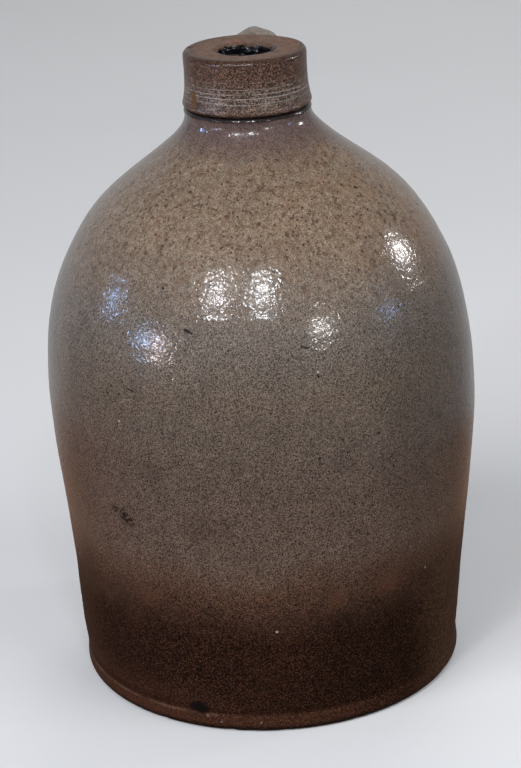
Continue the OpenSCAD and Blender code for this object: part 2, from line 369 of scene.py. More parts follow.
def body_lines(curve_steps=48):
    """Outer lines of the body: up to the joint, from the joint to the dome's flank, and on to the neck."""
    s = sizes()
    wall_z = s.foot_band_h + s.foot_cove_h
    belly_z = SEAM_Z - s.belly_drop
    foot_r = BELLY_R - s.foot_draw_in
    seam_r = BELLY_R - s.seam_draw_in
    rise = belly_z - wall_z
    (a, b), (c, d) = WALL_SHARES
    lower = bezier([
        (foot_r, wall_z),
        (foot_r + a * s.foot_draw_in, wall_z + b * rise),
        (foot_r + c * s.foot_draw_in, wall_z + d * rise),
        (BELLY_R, belly_z),
    ], curve_steps)
    up, down = BELLY_SHARES
    lower += bezier([
        (BELLY_R, belly_z),
        (BELLY_R, belly_z + up * s.belly_drop),
        (seam_r + s.seam_lean * down * s.belly_drop, SEAM_Z - down * s.belly_drop),
        (seam_r, SEAM_Z),
    ], curve_steps)[1:]
    neck_z = SEAT_Z - s.notch_h
    rise = neck_z - SEAM_Z
    flank = Vector((seam_r - FLANK_SHARES[0] * (seam_r - s.neck_r), SEAM_Z + FLANK_SHARES[1] * rise))
    dome = bezier([
        (seam_r, SEAM_Z),
        (seam_r - s.seam_lean * DOME_SHARES[0] * rise, SEAM_Z + DOME_SHARES[0] * rise),
        flank + DOME_SHARES[1] * rise * Vector((FLANK_LEAN, -1)),
        flank,
    ], curve_steps)
    rise = neck_z - flank.y
    neck = bezier([
        flank,
        flank + NECK_SHARES[0] * rise * Vector((-FLANK_LEAN, 1)),
        (s.neck_r, neck_z - NECK_SHARES[1] * rise),
        (s.neck_r, neck_z),
    ], curve_steps)
    return lower, dome, neck


def throat_line(end, bore):
    """Inner line from the dome's flank up to the bore."""
    throat_z = SEAT_Z - sizes().throat_drop
    rise = throat_z - end.y
    return bezier([
        end,
        end + NECK_SHARES[0] * rise * Vector((-FLANK_LEAN, 1)),
        (bore, throat_z - NECK_SHARES[1] * rise),
        (bore, throat_z),
    ], 10)


def bore_radius():
    """Radius of the clay's bore, behind the lining."""
    return sizes().mouth_r + sizes().lining_t


def spigot_radius():
    """Outer radius of the spigot that carries the collar."""
    bore = bore_radius()
    return bore + SPIGOT_SHARE * (sizes().neck_r - sizes().notch_h - bore)


# Mesh helpers

def spin_profile(profile, steps, closed=False):
    """A bmesh turned from a profile of (radius, height) points, with its poles and seam closed."""
    bm = bmesh.new()
    verts = [bm.verts.new((p.x, 0, p.y)) for p in profile]
    edges = [bm.edges.new(pair) for pair in zip(verts, verts[1:])]
    if closed:
        edges.append(bm.edges.new((verts[-1], verts[0])))
    bmesh.ops.spin(
        bm, geom=verts + edges, cent=(0, 0, 0), axis=(0, 0, 1), dvec=(0, 0, 0), angle=math.tau,
        steps=steps, use_merge=True, use_duplicate=False,
    )
    bmesh.ops.remove_doubles(bm, verts=bm.verts, dist=WELD)
    bmesh.ops.dissolve_degenerate(bm, dist=SLIVER, edges=bm.edges)
    bmesh.ops.recalc_face_normals(bm, faces=bm.faces)
    return bm


def sway(z):
    """The jug's stray at one height, as a vector."""
    turn = studio().azimuth
    amount = SWAY[-1][1]
    for (low, start), (high, end) in zip(SWAY, SWAY[1:]):
        if z <= high * MM:
            amount = start + (end - start) * smooth_share(z, low * MM, high * MM)
            break
    return amount * MM * Vector((math.cos(turn), math.sin(turn), 0))


def finish_piece(bm, name, node, paint=None, sharp=math.radians(40)):
    """The bmesh as a smooth-shaded piece that stands for a solid of the same place."""
    for vert in bm.verts:
        vert.co += sway(vert.co.z)
    mesh = bpy.data.meshes.new(name)
    bm.to_mesh(mesh)
    bm.free()
    mesh.shade_smooth()
    mesh.set_sharp_from_angle(angle=sharp)
    piece = bpy.data.objects.new(name, mesh)
    bpy.context.scene.collection.objects.link(piece)
    if paint:
        mesh.materials.append(paint)
    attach(piece, "root")
    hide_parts(node)
    return piece


def push_out(vert, distance):
    """Moves a vertex away from the axis."""
    flat = Vector((vert.co.x, vert.co.y, 0))
    if flat.length > HAIR:
        vert.co += flat.normalized() * distance


def polar(point):
    """A point's distance from the axis, its turn in radians and its direction from the axis."""
    turn = math.atan2(point.y, point.x)
    return math.hypot(point.x, point.y), turn, Vector((math.cos(turn), math.sin(turn), 0))


def smooth_share(value, low, high):
    """From 0 at low to 1 at high, with soft ends."""
    t = min(1.0, max(0.0, (value - low) / (high - low)))
    return t * t * (3 - 2 * t)


# How the thrown wall strays from a true surface of revolution

def wall_shift(point):
    """How far the wall's outside stands out at a point, by its slow wobble, throwing rings and trim."""
    s = sizes()
    turn, direction = polar(point)[1:]
    slow = noise.noise(direction * 0.9 + Vector((3.1, 1.7, point.z * 9)))
    spiral = turn + 2.2 * noise.noise(Vector((0.3, 0.9, point.z * 60)))
    ring_strength = 0.55 + 0.45 * noise.noise(direction * 1.4 + Vector((7.0, 2.0, point.z * 30)))
    ring = math.sin(math.tau * point.z / s.ring_pitch + spiral) * ring_strength
    neck = smooth_share(point.z, SEAT_Z - 20 * MM, SEAT_Z - 8 * MM)
    neck_ring = math.sin(math.tau * point.z / NECK_RING_PITCH + 0.6 * turn) * neck
    shift = s.wobble * (slow - 0.62) + s.ring_depth * (ring - 1) + NECK_RING_DEPTH * (neck_ring - 1)
    return min(shift, 0.0) - lookup(point.z / MM, TRIM) * MM


def ridge_shift(z):
    """The joint, softly swollen below and drawn in above."""
    s = sizes()
    above = z - SEAM_Z
    if above > 0:
        return -s.ridge_in * (1 - math.exp(-above / s.ridge_fade)) * math.exp(-above / (4 * s.ridge_fade))
    return s.ridge_out * math.exp(-(above / s.ridge_h) ** 2)


def collar_shift(direction, z):
    """How far the collar's side stands out, by its wobble and its throwing lines."""
    shift = SIDE_WAVE * (noise.noise(direction * 1.2 + Vector((4.0, 0.0, z * 40))) - 0.7)
    height = z - SEAT_Z + 0.5 * MM * noise.noise(direction * 1.1)
    for at, half, depth in COLLAR_LINES:
        lift = 0.5 + 0.5 * noise.noise(direction * 2.0 + Vector((0, 0, at)))
        shift -= depth * MM * lift * math.exp(-((height - at * MM) / (half * MM)) ** 2)
    return shift


def nick_depth(radius, turn, z):
    """How deep the foot's nicks are at a place of its edge."""
    depths = []
    for at, height, size, depth in FOOT_NICKS:
        apart = math.radians((math.degrees(turn) - at + 180) % 360 - 180) * radius
        away = math.hypot(apart, z - height * MM)
        depths.append(depth * MM * (1 - smooth_share(away, 0.3 * size * MM, size * MM)))
    return sum(depths)


class JUG_OT_lower_body(bpy.types.Operator):
    """Throws the lower section: floor, foot band, wall and the ridge at the joint"""

    bl_idname = "jug.lower_body"
    bl_label = "Lower body"

    def execute(self, context):
        s = sizes()
        lower = body_lines()[0]
        foot_r = lower[0].x + s.foot_proud
        wall_z = lower[0].y
        under = [Vector((part * foot_r, 0)) for part in (0, 0.5, 0.85)]
        edge = arc((foot_r - s.foot_round, s.foot_round), s.foot_round, -90, 0, 10)
        band = [Vector((foot_r, s.foot_round)), Vector((foot_r, s.foot_band_h))]
        cove = bezier([
            (foot_r, s.foot_band_h),
            (foot_r - 0.6 * MM, s.foot_band_h + 0.4 * s.foot_cove_h),
            (lower[0].x - 0.2 * MM, wall_z - 0.3 * s.foot_cove_h),
            lower[0],
        ], 6)
        outside = edge + even(band, FOOT_STEP)[1:] + cove[1:] + even(lower, WALL_STEP)[1:]
        inside = inset(lower, s.body_wall)
        corner_z = s.floor_t + s.floor_corner_r
        corner_r = radius_at(inside, corner_z) - s.floor_corner_r
        corner = arc((corner_r, corner_z), s.floor_corner_r, -90, 0, 8)
        wall_in = [p for p in even(inside, WALL_INSIDE_STEP) if corner_z < p.y < SEAM_Z]
        rim_in = Vector((radius_at(inside, SEAM_Z - HAIR), SEAM_Z))
        profile = under + outside + [rim_in] + wall_in[::-1] + corner[::-1] + [Vector((0, s.floor_t))]
        bm = spin_profile(profile, s.steps)
        inner_limit = s.body_wall * 0.5 + s.foot_proud
        for vert in bm.verts:
            radius, turn = polar(vert.co)[:2]
            z = vert.co.z
            if z < HAIR or radius < radius_at(lower, max(z, wall_z)) - inner_limit:
                continue
            grow = wall_shift(vert.co) * smooth_share(z, -4 * MM, 16 * MM)
            if z > wall_z:
                grow += ridge_shift(z)
            push_out(vert, grow - nick_depth(radius, turn, z))
        finish_piece(bm, "lower_body_thrown", "lower_body")
        return {"FINISHED"}


class JUG_OT_shoulder(bpy.types.Operator):
    """Throws the upper section: dome and neck, with the spigot that carries the collar"""

    bl_idname = "jug.shoulder"
    bl_label = "Shoulder"

    def execute(self, context):
        s = sizes()
        lower, dome, neck = body_lines()
        whole = dome + neck[1:]
        bore = bore_radius()
        spigot_r = spigot_radius()
        spigot_z = SEAT_Z + s.spigot_h
        seat = arc((s.neck_r - s.pool_h, SEAT_Z - s.pool_h), s.pool_h, 0, 90, 8)
        top = [Vector((spigot_r, SEAT_Z)), Vector((spigot_r, spigot_z)), Vector((bore, spigot_z))]
        inside = inset(dome, s.body_wall)
        throat = throat_line(inside[-1], bore)
        rim_in = [Vector((radius_at(inset(lower, s.body_wall), SEAM_Z - HAIR), SEAM_Z))]
        inner = [p for p in even(inside, INSIDE_STEP) if p.y > SEAM_Z + 1 * MM]
        profile = even(whole, DOME_STEP) + seat + top + throat[::-1] + inner[::-1][1:] + rim_in
        bm = spin_profile(profile, s.steps, closed=True)
        for vert in bm.verts:
            z = vert.co.z
            outside = polar(vert.co)[0] >= radius_at(whole, z) - s.body_wall * 0.4
            if outside and z <= SEAT_Z - s.pool_h * 0.9:
                swell = s.ridge_out * math.exp(-(z - SEAM_Z) / s.ridge_fade)
                push_out(vert, wall_shift(vert.co) + ridge_shift(z) + swell)
        finish_piece(bm, "shoulder_thrown", "shoulder")
        return {"FINISHED"}


class JUG_OT_collar(bpy.types.Operator):
    """Turns the collar, with its throwing lines and a small chip in the rim"""

    bl_idname = "jug.collar"
    bl_label = "Collar"

    def execute(self, context):
        s = sizes()
        waist_r = s.neck_r - s.waist_in
        brow_r = waist_r + s.brow_out
        flare_r = s.neck_r + s.flare_out
        collar_h = JUG_H - SEAT_Z
        bore = bore_radius()
        spigot_r = spigot_radius()
        spigot_z = SEAT_Z + s.spigot_h
        low = arc((flare_r - s.collar_low_round, SEAT_Z + s.collar_low_round), s.collar_low_round, -90, 0, 8)
        side = bezier([
            (flare_r, SEAT_Z + s.collar_low_round),
            (waist_r, SEAT_Z + WAIST_SHARES[0] * collar_h),
            (waist_r, SEAT_Z + WAIST_SHARES[1] * collar_h),
            (brow_r, JUG_H - s.collar_top_round),
        ], 30)
        top = arc((brow_r - s.collar_top_round, JUG_H - s.collar_top_round), s.collar_top_round, 0, 90, 10)
        edge_r = bore + s.mouth_round
        mouth = arc((edge_r, JUG_H - s.collar_dish - s.mouth_round), s.mouth_round, 90, 180, 8)
        face = even([top[-1], mouth[0]], COLLAR_FACE_STEP)
        inner = [Vector((bore, spigot_z)), Vector((spigot_r, spigot_z)), Vector((spigot_r, SEAT_Z))]
        wall_in = even([mouth[-1], inner[0]], COLLAR_BORE_STEP)
        profile = low + even(side, COLLAR_STEP)[1:] + top[1:] + face[1:-1] + mouth + wall_in[1:] + inner[1:]
        bm = spin_profile(profile, s.steps, closed=True)
        chip = pixel_hit(surface_tree([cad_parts["collar"]]), *RIM_CHIP)[0]
        for vert in bm.verts:
            radius, direction = polar(vert.co)[::2]
            z = vert.co.z
            if radius < bore + SEAT_MARGIN or z < SEAT_Z + SEAT_MARGIN:
                continue
            if radius > edge_r + SIDE_MARGIN:
                push_out(vert, collar_shift(direction, z))
            if z > JUG_H - TOP_REACH:
                slow = noise.noise(direction * 1.3 + Vector((1.0, 5.0, 2.0)))
                vert.co.z += TOP_WAVE * (slow - 0.6)
            bite = 1 - smooth_share((vert.co - chip).length, CHIP_FULL_R, CHIP_R)
            push_out(vert, -CHIP_IN * bite)
            vert.co.z -= CHIP_DOWN * bite
        piece = finish_piece(bm, "collar_turned", "collar")
        piece.data.materials.append(collar_paint(surface_tree([piece])))
        return {"FINISHED"}


class JUG_OT_strap_handle(bpy.types.Operator):
    """Pulls the strap handle from the neck over to the shoulder and presses its tail"""

    bl_idname = "jug.strap_handle"
    bl_label = "Strap handle"

    def execute(self, context):
        line = strap_line(STRAP_STEPS)
        bm = bmesh.new()
        first = bmesh.ops.create_circle(bm, segments=STRAP_SIDES, radius=1.0)["verts"]
        shape_ring(first, line, 0)
        edges = list(bm.edges)
        for i in range(1, len(line)):
            made = bmesh.ops.extrude_edge_only(bm, edges=edges)["geom"]
            ring = [g for g in made if isinstance(g, bmesh.types.BMVert)]
            tip = set(ring)
            edges = [g for g in made if isinstance(g, bmesh.types.BMEdge) and all(v in tip for v in g.verts)]
            shape_ring(ring, line, i)
        bmesh.ops.contextual_create(bm, geom=first)
        bmesh.ops.contextual_create(bm, geom=ring)
        bmesh.ops.recalc_face_normals(bm, faces=bm.faces)
        press_tail(bm, line)
        finish_piece(bm, "strap_handle_pulled", "strap_handle", strap_paint(), sharp=math.radians(60))
        return {"FINISHED"}


def strap_line(steps):
    """Middle line of the strap, as (distance from the axis, height)."""
    s = sizes()
    dome = body_lines()[1]
    t = s.strap_t
    landing_z = SEAT_Z - s.landing_drop
    tail_z = landing_z - s.tail_h
    waist_r = s.neck_r - s.waist_in
    crest = Vector((waist_r + s.crest_out, JUG_H - s.crest_drop - CROWN_SHARE * t))
    root = Vector((waist_r - t / 2, SEAT_Z + t / 4))
    touch = Vector((radius_at(dome, landing_z) + s.bow_out, landing_z + s.tail_h / 4))
    tail = Vector((radius_at(dome, tail_z) - t / 4, tail_z))
    line = bezier([root, root + Vector((t, t)), crest - Vector((t, 0)), crest], steps)
    line += bezier([crest, crest + Vector((2 * t, 0)), touch + Vector((t / 2, 3 * t)), touch], steps)[1:]
    line += bezier([touch, touch - Vector((t / 4, 0.75 * t)), tail + Vector((-t / 2, t)), tail], steps)[1:]
    return line


def shape_ring(ring, line, i):
    """Sets a ring of vertices to the strap's crowned and ribbed section at one place of its line."""
    s = sizes()
    along = i / (len(line) - 1)
    width = s.strap_w * lookup(along, STRAP_WIDTH_SHARES)
    thick = s.strap_t * lookup(along, STRAP_THICKNESS_SHARES)
    out = left_of(line, i)
    order = sorted(ring, key=lambda v: v.index) if ring[0].index >= 0 else ring
    for k, vert in enumerate(order):
        turn = math.tau * k / len(ring)
        sine = math.sin(turn)
        if sine > 0:
            high = CROWN_SHARE * sine ** CROWN_POWER
        else:
            high = (CROWN_SHARE - 1) * (-sine) ** UNDERSIDE_POWER
        across = math.cos(turn)
        rib = RIB_SHARE * math.cos(across * RIB_TURNS + RIB_START) * max(sine, 0) ** 0.5
        at = line[i] + thick * (high - RIB_SHARE + rib) * out
        drift = STRAP_WAVE * noise.noise(Vector((along * 5, across, sine)))
        vert.co = (width / 2 * across + drift, at.x, at.y)


def press_tail(bm, line):
    """Presses the thumb's print into the outside of the tail."""
    s = sizes()
    i = round(THUMB_SHARE * (len(line) - 1))
    thick = s.strap_t * lookup(THUMB_SHARE, STRAP_THICKNESS_SHARES)
    out = left_of(line, i)
    middle = line[i] + (CROWN_SHARE * thick - s.thumb_depth + s.thumb_r) * out
    centre = Vector((0, middle.x, middle.y))
    inward = Vector((0, -out.x, -out.y))
    for vert in bm.verts:
        away = (vert.co - centre).length
        if away < s.thumb_r:
            vert.co += inward * (s.thumb_r - away)


class JUG_OT_slip_lining(bpy.types.Operator):
    """Coats the inside with dark slip, with a ragged upper edge just under the mouth"""

    bl_idname = "jug.slip_lining"
    bl_label = "Slip lining"

    def execute(self, context):
        s = sizes()
        outer = lining_line(SKIN_GAP)
        inner = lining_line(s.lining_t)
        bm = spin_profile(outer + inner[::-1], s.steps)
        lip_r, lip_z = lip_centre()
        for vert in bm.verts:
            radius, turn, direction = polar(vert.co)
            if vert.co.z > JUG_H - LUMP_START and radius < s.mouth_r + s.lining_t * 0.5:
                lump = max(0.0, noise.noise(Vector((turn * 4.2, vert.co.z * 260, 3.0))) + 0.15)
                grown = smooth_share(vert.co.z, JUG_H - LUMP_START, JUG_H - LUMP_FULL)
                push_out(vert, -LUMP_H * lump * grown)
            if vert.co.z < lip_z:
                continue
            ragged = 0.62 + 0.5 * noise.noise(direction * 2.1) + 0.3 * noise.noise(direction * 8)
            from_lip = Vector((polar(vert.co)[0] - lip_r, vert.co.z - lip_z))
            curl = math.atan2(from_lip.y, -from_lip.x) * min(1.0, max(0.1, ragged))
            radius = lip_r - from_lip.length * math.cos(curl)
            vert.co = radius * direction + Vector((0, 0, lip_z + from_lip.length * math.sin(curl)))
        finish_piece(bm, "slip_lining_coat", "slip_lining", slip_paint())
        return {"FINISHED"}


def lip_centre():
    """Centre of the rounding at the mouth's edge, as radius and height."""
    s = sizes()
    return bore_radius() + s.mouth_round, JUG_H - s.collar_dish - s.mouth_round


def lining_line(depth):
    """One skin of the lining, at a depth from the clay: from the floor's middle up to the curl at the lip."""
    s = sizes()
    lower, dome = body_lines()[:2]
    wall = inset(lower + dome[1:], s.body_wall + depth)
    corner_z = s.floor_t + s.floor_corner_r
    corner_r = s.floor_corner_r - depth
    corner = arc((radius_at(wall, corner_z) - corner_r, corner_z), corner_r, -90, 0, 8)
    side = [p for p in even(wall, INSIDE_STEP) if p.y > corner_z]
    throat = throat_line(wall[-1], bore_radius() - depth)
    lip_r, lip_z = lip_centre()
    tube = even([throat[-1], Vector((throat[-1].x, lip_z))], LINING_BORE_STEP)
    lip = []
    for i in range(1, LIP_STEPS + 1):
        t = i / LIP_STEPS
        skin = LIP_SKIN + (depth - LIP_SKIN) * (1 - t) if depth > LIP_SKIN else -depth
        curl = Vector((-math.cos(t * LIP_TURN), math.sin(t * LIP_TURN)))
        lip.append(Vector((lip_r, lip_z)) + (s.mouth_round + skin) * curl)
    return [Vector((0, s.floor_t + depth))] + corner + side + throat[1:] + tube[1:] + lip


# Where a pixel of the photograph falls on the jug

def camera_axes():
    """Place of the camera, and its right, up and forward directions."""
    c = studio()
    sine, cosine = math.sin(c.azimuth), math.cos(c.azimuth)
    place = Vector((c.distance * sine, -c.distance * cosine, c.height))
    forward = Vector((-sine * math.cos(c.pitch), cosine * math.cos(c.pitch), -math.sin(c.pitch)))
    level = Vector((cosine, sine, 0))
    rise = level.cross(forward)
    up = math.cos(c.roll) * rise + math.sin(c.roll) * level
    right = math.cos(c.roll) * level - math.sin(c.roll) * rise
    return place, right, up, forward


def surface_tree(objects):
    """A search tree of the objects' surfaces."""
    bm = bmesh.new()
    for piece in objects:
        bm.from_mesh(piece.data)
    tree = BVHTree.FromBMesh(bm)
    bm.free()
    return tree


def pixel_hit(tree, x, y):
    """Place and outward direction of a surface at a pixel."""
    place, right, up, forward = camera_axes()
    focal = studio().focal
    aim = (forward + (x - PHOTO_W / 2) / focal * right - (y - PHOTO_H / 2) / focal * up).normalized()
    hit, normal = tree.ray_cast(place, aim)[:2]
    if hit is None:
        raise RuntimeError(f"no surface at pixel {x}, {y}")
    return hit, -normal if normal.dot(aim) > 0 else normal


# Shader maths

SHADER_SOCKETS = {
    "ior": "IOR",
    "specular": "Specular IOR Level",
    "tint": "Specular Tint",
    "coat": "Coat Weight",
    "coat_rough": "Coat Roughness",
}


class Value:
    """A number that varies over a surface. Sums and products of it become Math nodes."""

    def __init__(self, nodes, socket):
        self.nodes = nodes
        self.socket = socket

    def __add__(self, other):
        return self.nodes.maths("ADD", self, other)

    def __sub__(self, other):
        return self.nodes.maths("SUBTRACT", self, other)

    def __rsub__(self, other):
        return self.nodes.maths("SUBTRACT", other, self)

    def __mul__(self, other):
        return self.nodes.maths("MULTIPLY", self, other)

    def __truediv__(self, other):
        return self.nodes.maths("DIVIDE", self, other)

    def __pow__(self, other):
        return self.nodes.maths("POWER", self, other)

    __radd__ = __add__
    __rmul__ = __mul__


class Nodes:
    """Fills a node tree."""

    def __init__(self, tree):
        self.tree = tree
        self.tree.nodes.clear()

    def node(self, kind, values=None, stops=None, **settings):
        """One node: its settings come first, then the values or links of its sockets."""
        made = self.tree.nodes.new(kind)
        for name, setting in settings.items():
            setattr(made, name, setting)
        if stops:
            ramp = made.color_ramp
            while len(ramp.elements) < len(stops):
                ramp.elements.new(1.0)
            for element, (at, tone) in zip(ramp.elements, sorted(stops)):
                element.position = at
                element.color = tone
        for name, value in (values or {}).items():
            value = value.socket if isinstance(value, Value) else value
            if isinstance(value, bpy.types.NodeSocket):
                self.tree.links.new(value, made.inputs[name])
            else:
                made.inputs[name].default_value = value
        return made

    def maths(self, operation, first, second=0.0):
        """A Math node."""
        return Value(self, self.node("ShaderNodeMath", {0: first, 1: second}, operation=operation).outputs[0])

    def vector(self, operation, values, result="Vector"):
        """A Vector Math node's result."""
        return self.node("ShaderNodeVectorMath", values, operation=operation).outputs[result]

    def top(self, first, second):
        """The larger of two values."""
        return self.maths("MAXIMUM", first, second)

    def low(self, first, second):
        """The smaller of two values."""
        return self.maths("MINIMUM", first, second)

    def unsigned(self, value):
        """A value without its sign."""
        return self.maths("ABSOLUTE", value)

    def fade(self, value, start, end, low=0.0, high=1.0):
        """From low at start to high at end, with soft ends."""
        made = self.node(
            "ShaderNodeMapRange",
            {"Value": value, "From Min": start, "From Max": end, "To Min": low, "To Max": high},
            interpolation_type="SMOOTHSTEP",
        )
        return Value(self, made.outputs["Result"])


class Paint(Nodes):
    """The nodes of one material, on Object coordinates in millimetres, and its colour so far."""

    def __init__(self, name, surface=None):
        self.surface = surface
        self.material = bpy.data.materials.new(name)
        self.material.use_nodes = True
        super().__init__(self.material.node_tree)
        place = self.node("ShaderNodeTexCoord").outputs["Object"]
        self.point = self.vector("SCALE", {"Vector": place, "Scale": 1 / MM})
        parts = self.node("ShaderNodeSeparateXYZ", {"Vector": self.point})
        self.x = Value(self, parts.outputs["X"])
        self.y = Value(self, parts.outputs["Y"])
        self.z = Value(self, parts.outputs["Z"])
        self.tone = None

    def moved(self, shift, stretch):
        """The surface point, stretched and then moved."""
        return self.vector("MULTIPLY_ADD", {0: self.point, 1: stretch, 2: shift})

    def cloud(self, size, detail=2.0, rough=0.5, shift=(0, 0, 0), stretch=(1, 1, 1)):
        """Soft noise from 0 to 1, whose patches are about size millimetres across."""
        made = self.node(
            "ShaderNodeTexNoise",
            {"Vector": self.moved(shift, stretch), "Scale": 1 / size, "Detail": detail, "Roughness": rough},
        )
        return Value(self, made.outputs["Fac"])

    def patches(self, start, end, size, detail=2.0, rough=0.5, shift=(0, 0, 0), stretch=(1, 1, 1)):
        """Patches from 0, where a cloud of that size is at start, to 1, where it is at end."""
        return self.fade(self.cloud(size, detail, rough, shift, stretch), start, end)

    def cells(self, size, shift, stretch=(1, 1, 1)):
        """Random cells about size millimetres across: a colour for each, and the distance from its middle."""
        values = {"Vector": self.moved(shift, stretch), "Scale": 1 / size, "Randomness": 1.0}
        made = self.node("ShaderNodeTexVoronoi", values)
        parts = self.node("ShaderNodeSeparateColor", {"Color": made.outputs["Color"]})
        return parts.outputs, made.outputs["Distance"]

    def grains(self, size, shift=(0, 0, 0)):
        """A random value from 0 to 1 for each grain, about size millimetres across."""
        return Value(self, self.cells(size, shift)[0]["Red"])

    def specks(self, cell, small, large, chance, shift=(0, 0, 0), stretch=(1, 1, 1)):
        """Round specks, one to a cell at most: radii in mm, and the share of the cells that have one."""
        parts, distance = self.cells(cell, shift, stretch)
        away = Value(self, distance) * cell
        radius = Value(self, parts["Red"]) * (large - small) + small
        there = self.maths("LESS_THAN", Value(self, parts["Green"]), chance)
        return self.fade(away / radius, 1.0, 0.55) * there

    def mark(self, x, y, radius, soft=0.5, ragged=0.0, ragged_size=2.0):
        """A patch round the surface's place at a pixel of the photograph, with its radius in millimetres."""
        at = pixel_hit(self.surface, x, y)[0] / MM
        away = Value(self, self.vector("DISTANCE", {0: self.point, 1: at}, "Value"))
        if ragged:
            away = away + (self.cloud(ragged_size, 3.0) - 0.5) * ragged
        return self.fade(away, radius, radius * soft)

    def scratch(self, start, end, half, ragged):
        """A short stroke between the surface's places at two pixels, with its half width in millimetres."""
        first = pixel_hit(self.surface, *start)[0] / MM
        run = pixel_hit(self.surface, *end)[0] / MM - first
        away = self.vector("SUBTRACT", {0: self.point, 1: first})
        along = Value(self, self.vector("DOT_PRODUCT", {0: away, 1: run / run.length_squared}, "Value"))
        near = self.times(run, self.low(self.top(along, 0.0), 1.0))
        gap = Value(self, self.vector("DISTANCE", {0: away, 1: near}, "Value"))
        gap = gap + (self.cloud(1.2, 3.0) - 0.5) * ragged
        return self.fade(gap, half * 1.5, half * 0.6)

    def stripe(self, height, half, wave):
        """A thin line round the jug at a height, in millimetres."""
        gap = self.unsigned(self.z - height + (self.cloud(22, 1.0) - 0.5) * wave)
        return self.fade(gap, half, 0.0)

    def times(self, tone, factor):
        """A colour times a varying factor."""
        return self.vector("SCALE", {0: tone, "Scale": factor})

    def blend(self, amount, below, above):
        """A colour over another."""
        values = {0: amount, 6: solid(below), 7: solid(above)}
        return self.node("ShaderNodeMix", values, data_type="RGBA").outputs[2]

    def ramp(self, value, stops):
        """A colour read from a ramp."""
        stops = [(at, solid(tone)) for at, tone in stops]
        return self.node("ShaderNodeValToRGB", {"Fac": value}, stops=stops).outputs["Color"]

    def lay(self, amount, tone):
        """Lays a colour over the paint so far."""
        self.tone = self.blend(amount, self.tone, tone)

    def shade(self, factor):
        """Makes the paint so far darker or lighter."""
        self.tone = self.times(self.tone, factor)

    def marks(self, tone, rows, soft, ragged_size, among=None):
        """Lays a colour at each row's pixel, with the row's radius and ragged edge in mm and its strength."""
        for x, y, radius, ragged, strength in rows:
            there = self.mark(x, y, radius, soft, ragged, ragged_size)
            if among:
                there = there * among
            self.lay(there * strength, tone)

    def bump(self, height, distance, over=None):
        """A Bump node: height from 0 to 1 over a distance in millimetres."""
        values = {"Height": height, "Distance": distance * MM}
        if over:
            values["Normal"] = over
        return self.node("ShaderNodeBump", values).outputs["Normal"]

    def shader(self, rough, normal, **constants):
        """A Principled shader of the paint's colour. The names of its constants are in SHADER_SOCKETS."""
        values = {"Base Color": self.tone, "Roughness": rough, "Normal": normal}
        for name, value in constants.items():
            values[SHADER_SOCKETS[name]] = value
        return self.node("ShaderNodeBsdfPrincipled", values).outputs["BSDF"]

    def finish(self, shader, other=None, factor=0.0):
        """The material, of one shader or of two mixed by a factor."""
        if other:
            shader = self.node("ShaderNodeMixShader", {0: factor, 1: shader, 2: other}).outputs[0]
        self.node("ShaderNodeOutputMaterial", {"Surface": shader})
        return self.material


def solid(tone):
    """A colour with its alpha, or a link as it is."""
    if isinstance(tone, bpy.types.NodeSocket):
        return tone
    return (tone[0], tone[1], tone[2], 1.0)


def darker(tone, factor):
    """A colour times a factor."""
    return tuple(min(1.0, part * factor) for part in tone)


# Zones of the body's glaze and of its painted shade, as the heights in mm at which each sets in and is full
SHOULDER_ZONE = (208, 262)
WARM_SHOULDER_ZONE = (228, 275)
NECK_ZONE = (289, 303)
# Pooled dark glaze with painted shade in the notch under the collar
UNDERCUT_POOL_AND_SHADE_ZONE = (310.0, 310.9)
BAND_ZONE = (104, 52)
WARM_FOOT_ZONE = (32, 8)
FOOT_ZONE = (13.5, 9.5)
# Painted contact shadow at the sole
CONTACT_SHADOW_ZONE = (5.0, 2.2)
# The same, as distances in mm to the right of the jug's middle
LEFT_SIDE = (-50, -112)
BAND_LEFT_SIDE = (0, -40)
FLANK_SIDE = (45, 82)
FAR_SIDE = (68, 92)
RIM_SIDE = (86, 106)
BAND_RIGHT_SIDE = (70, 94)
# Zones of the collar, as heights in mm
COLLAR_GREY_ZONE = (333, 321)
COLLAR_EDGE_ZONE = (320.5, 315)
# Painted shade under the collar's lower edge
COLLAR_UNDER_SHADE_ZONE = (314.2, 313.2)
# Tints of single zones and specks, linear. The low-left tint is warmer glaze with a painted reflection, the
# low-rim and band-rim tints are painted reflections, the band-right tint is painted edge light and the glint
# tint a painted highlight
LOW_LEFT_GLAZE_AND_REFLECTION_TINT = (0.096, 0.051, 0.035)
FAR_RIGHT_TINT = (0.215, 0.115, 0.062)
LOW_RIM_REFLECTION_TINT = (0.074, 0.042, 0.024)
GLOW_TINT = (0.082, 0.033, 0.017)
BAND_RIM_REFLECTION_TINT = (0.032, 0.014, 0.0055)
BAND_RIGHT_EDGE_LIGHT_TINT = (0.040, 0.0205, 0.0115)
WARM_SHOULDER_TINT = (0.205, 0.115, 0.058)
PALE_MOTTLE_TINT = (0.26, 0.215, 0.165)
DARK_MOTTLE_TINT = (0.040, 0.0175, 0.0085)
FRECKLE_TINT = (0.060, 0.026, 0.011)
GLINT_TINT = (0.16, 0.10, 0.07)
RUSTY_FLUSH_TINT = (0.095, 0.034, 0.018)
COLLAR_RED_TINT = (0.085, 0.030, 0.018)
COLLAR_DRAWN_TINT = (0.25, 0.195, 0.165)
COLLAR_GRAIN_TINT = (0.215, 0.146, 0.112)
SLIP_BLUE_TINT = (0.004, 0.009, 0.014)

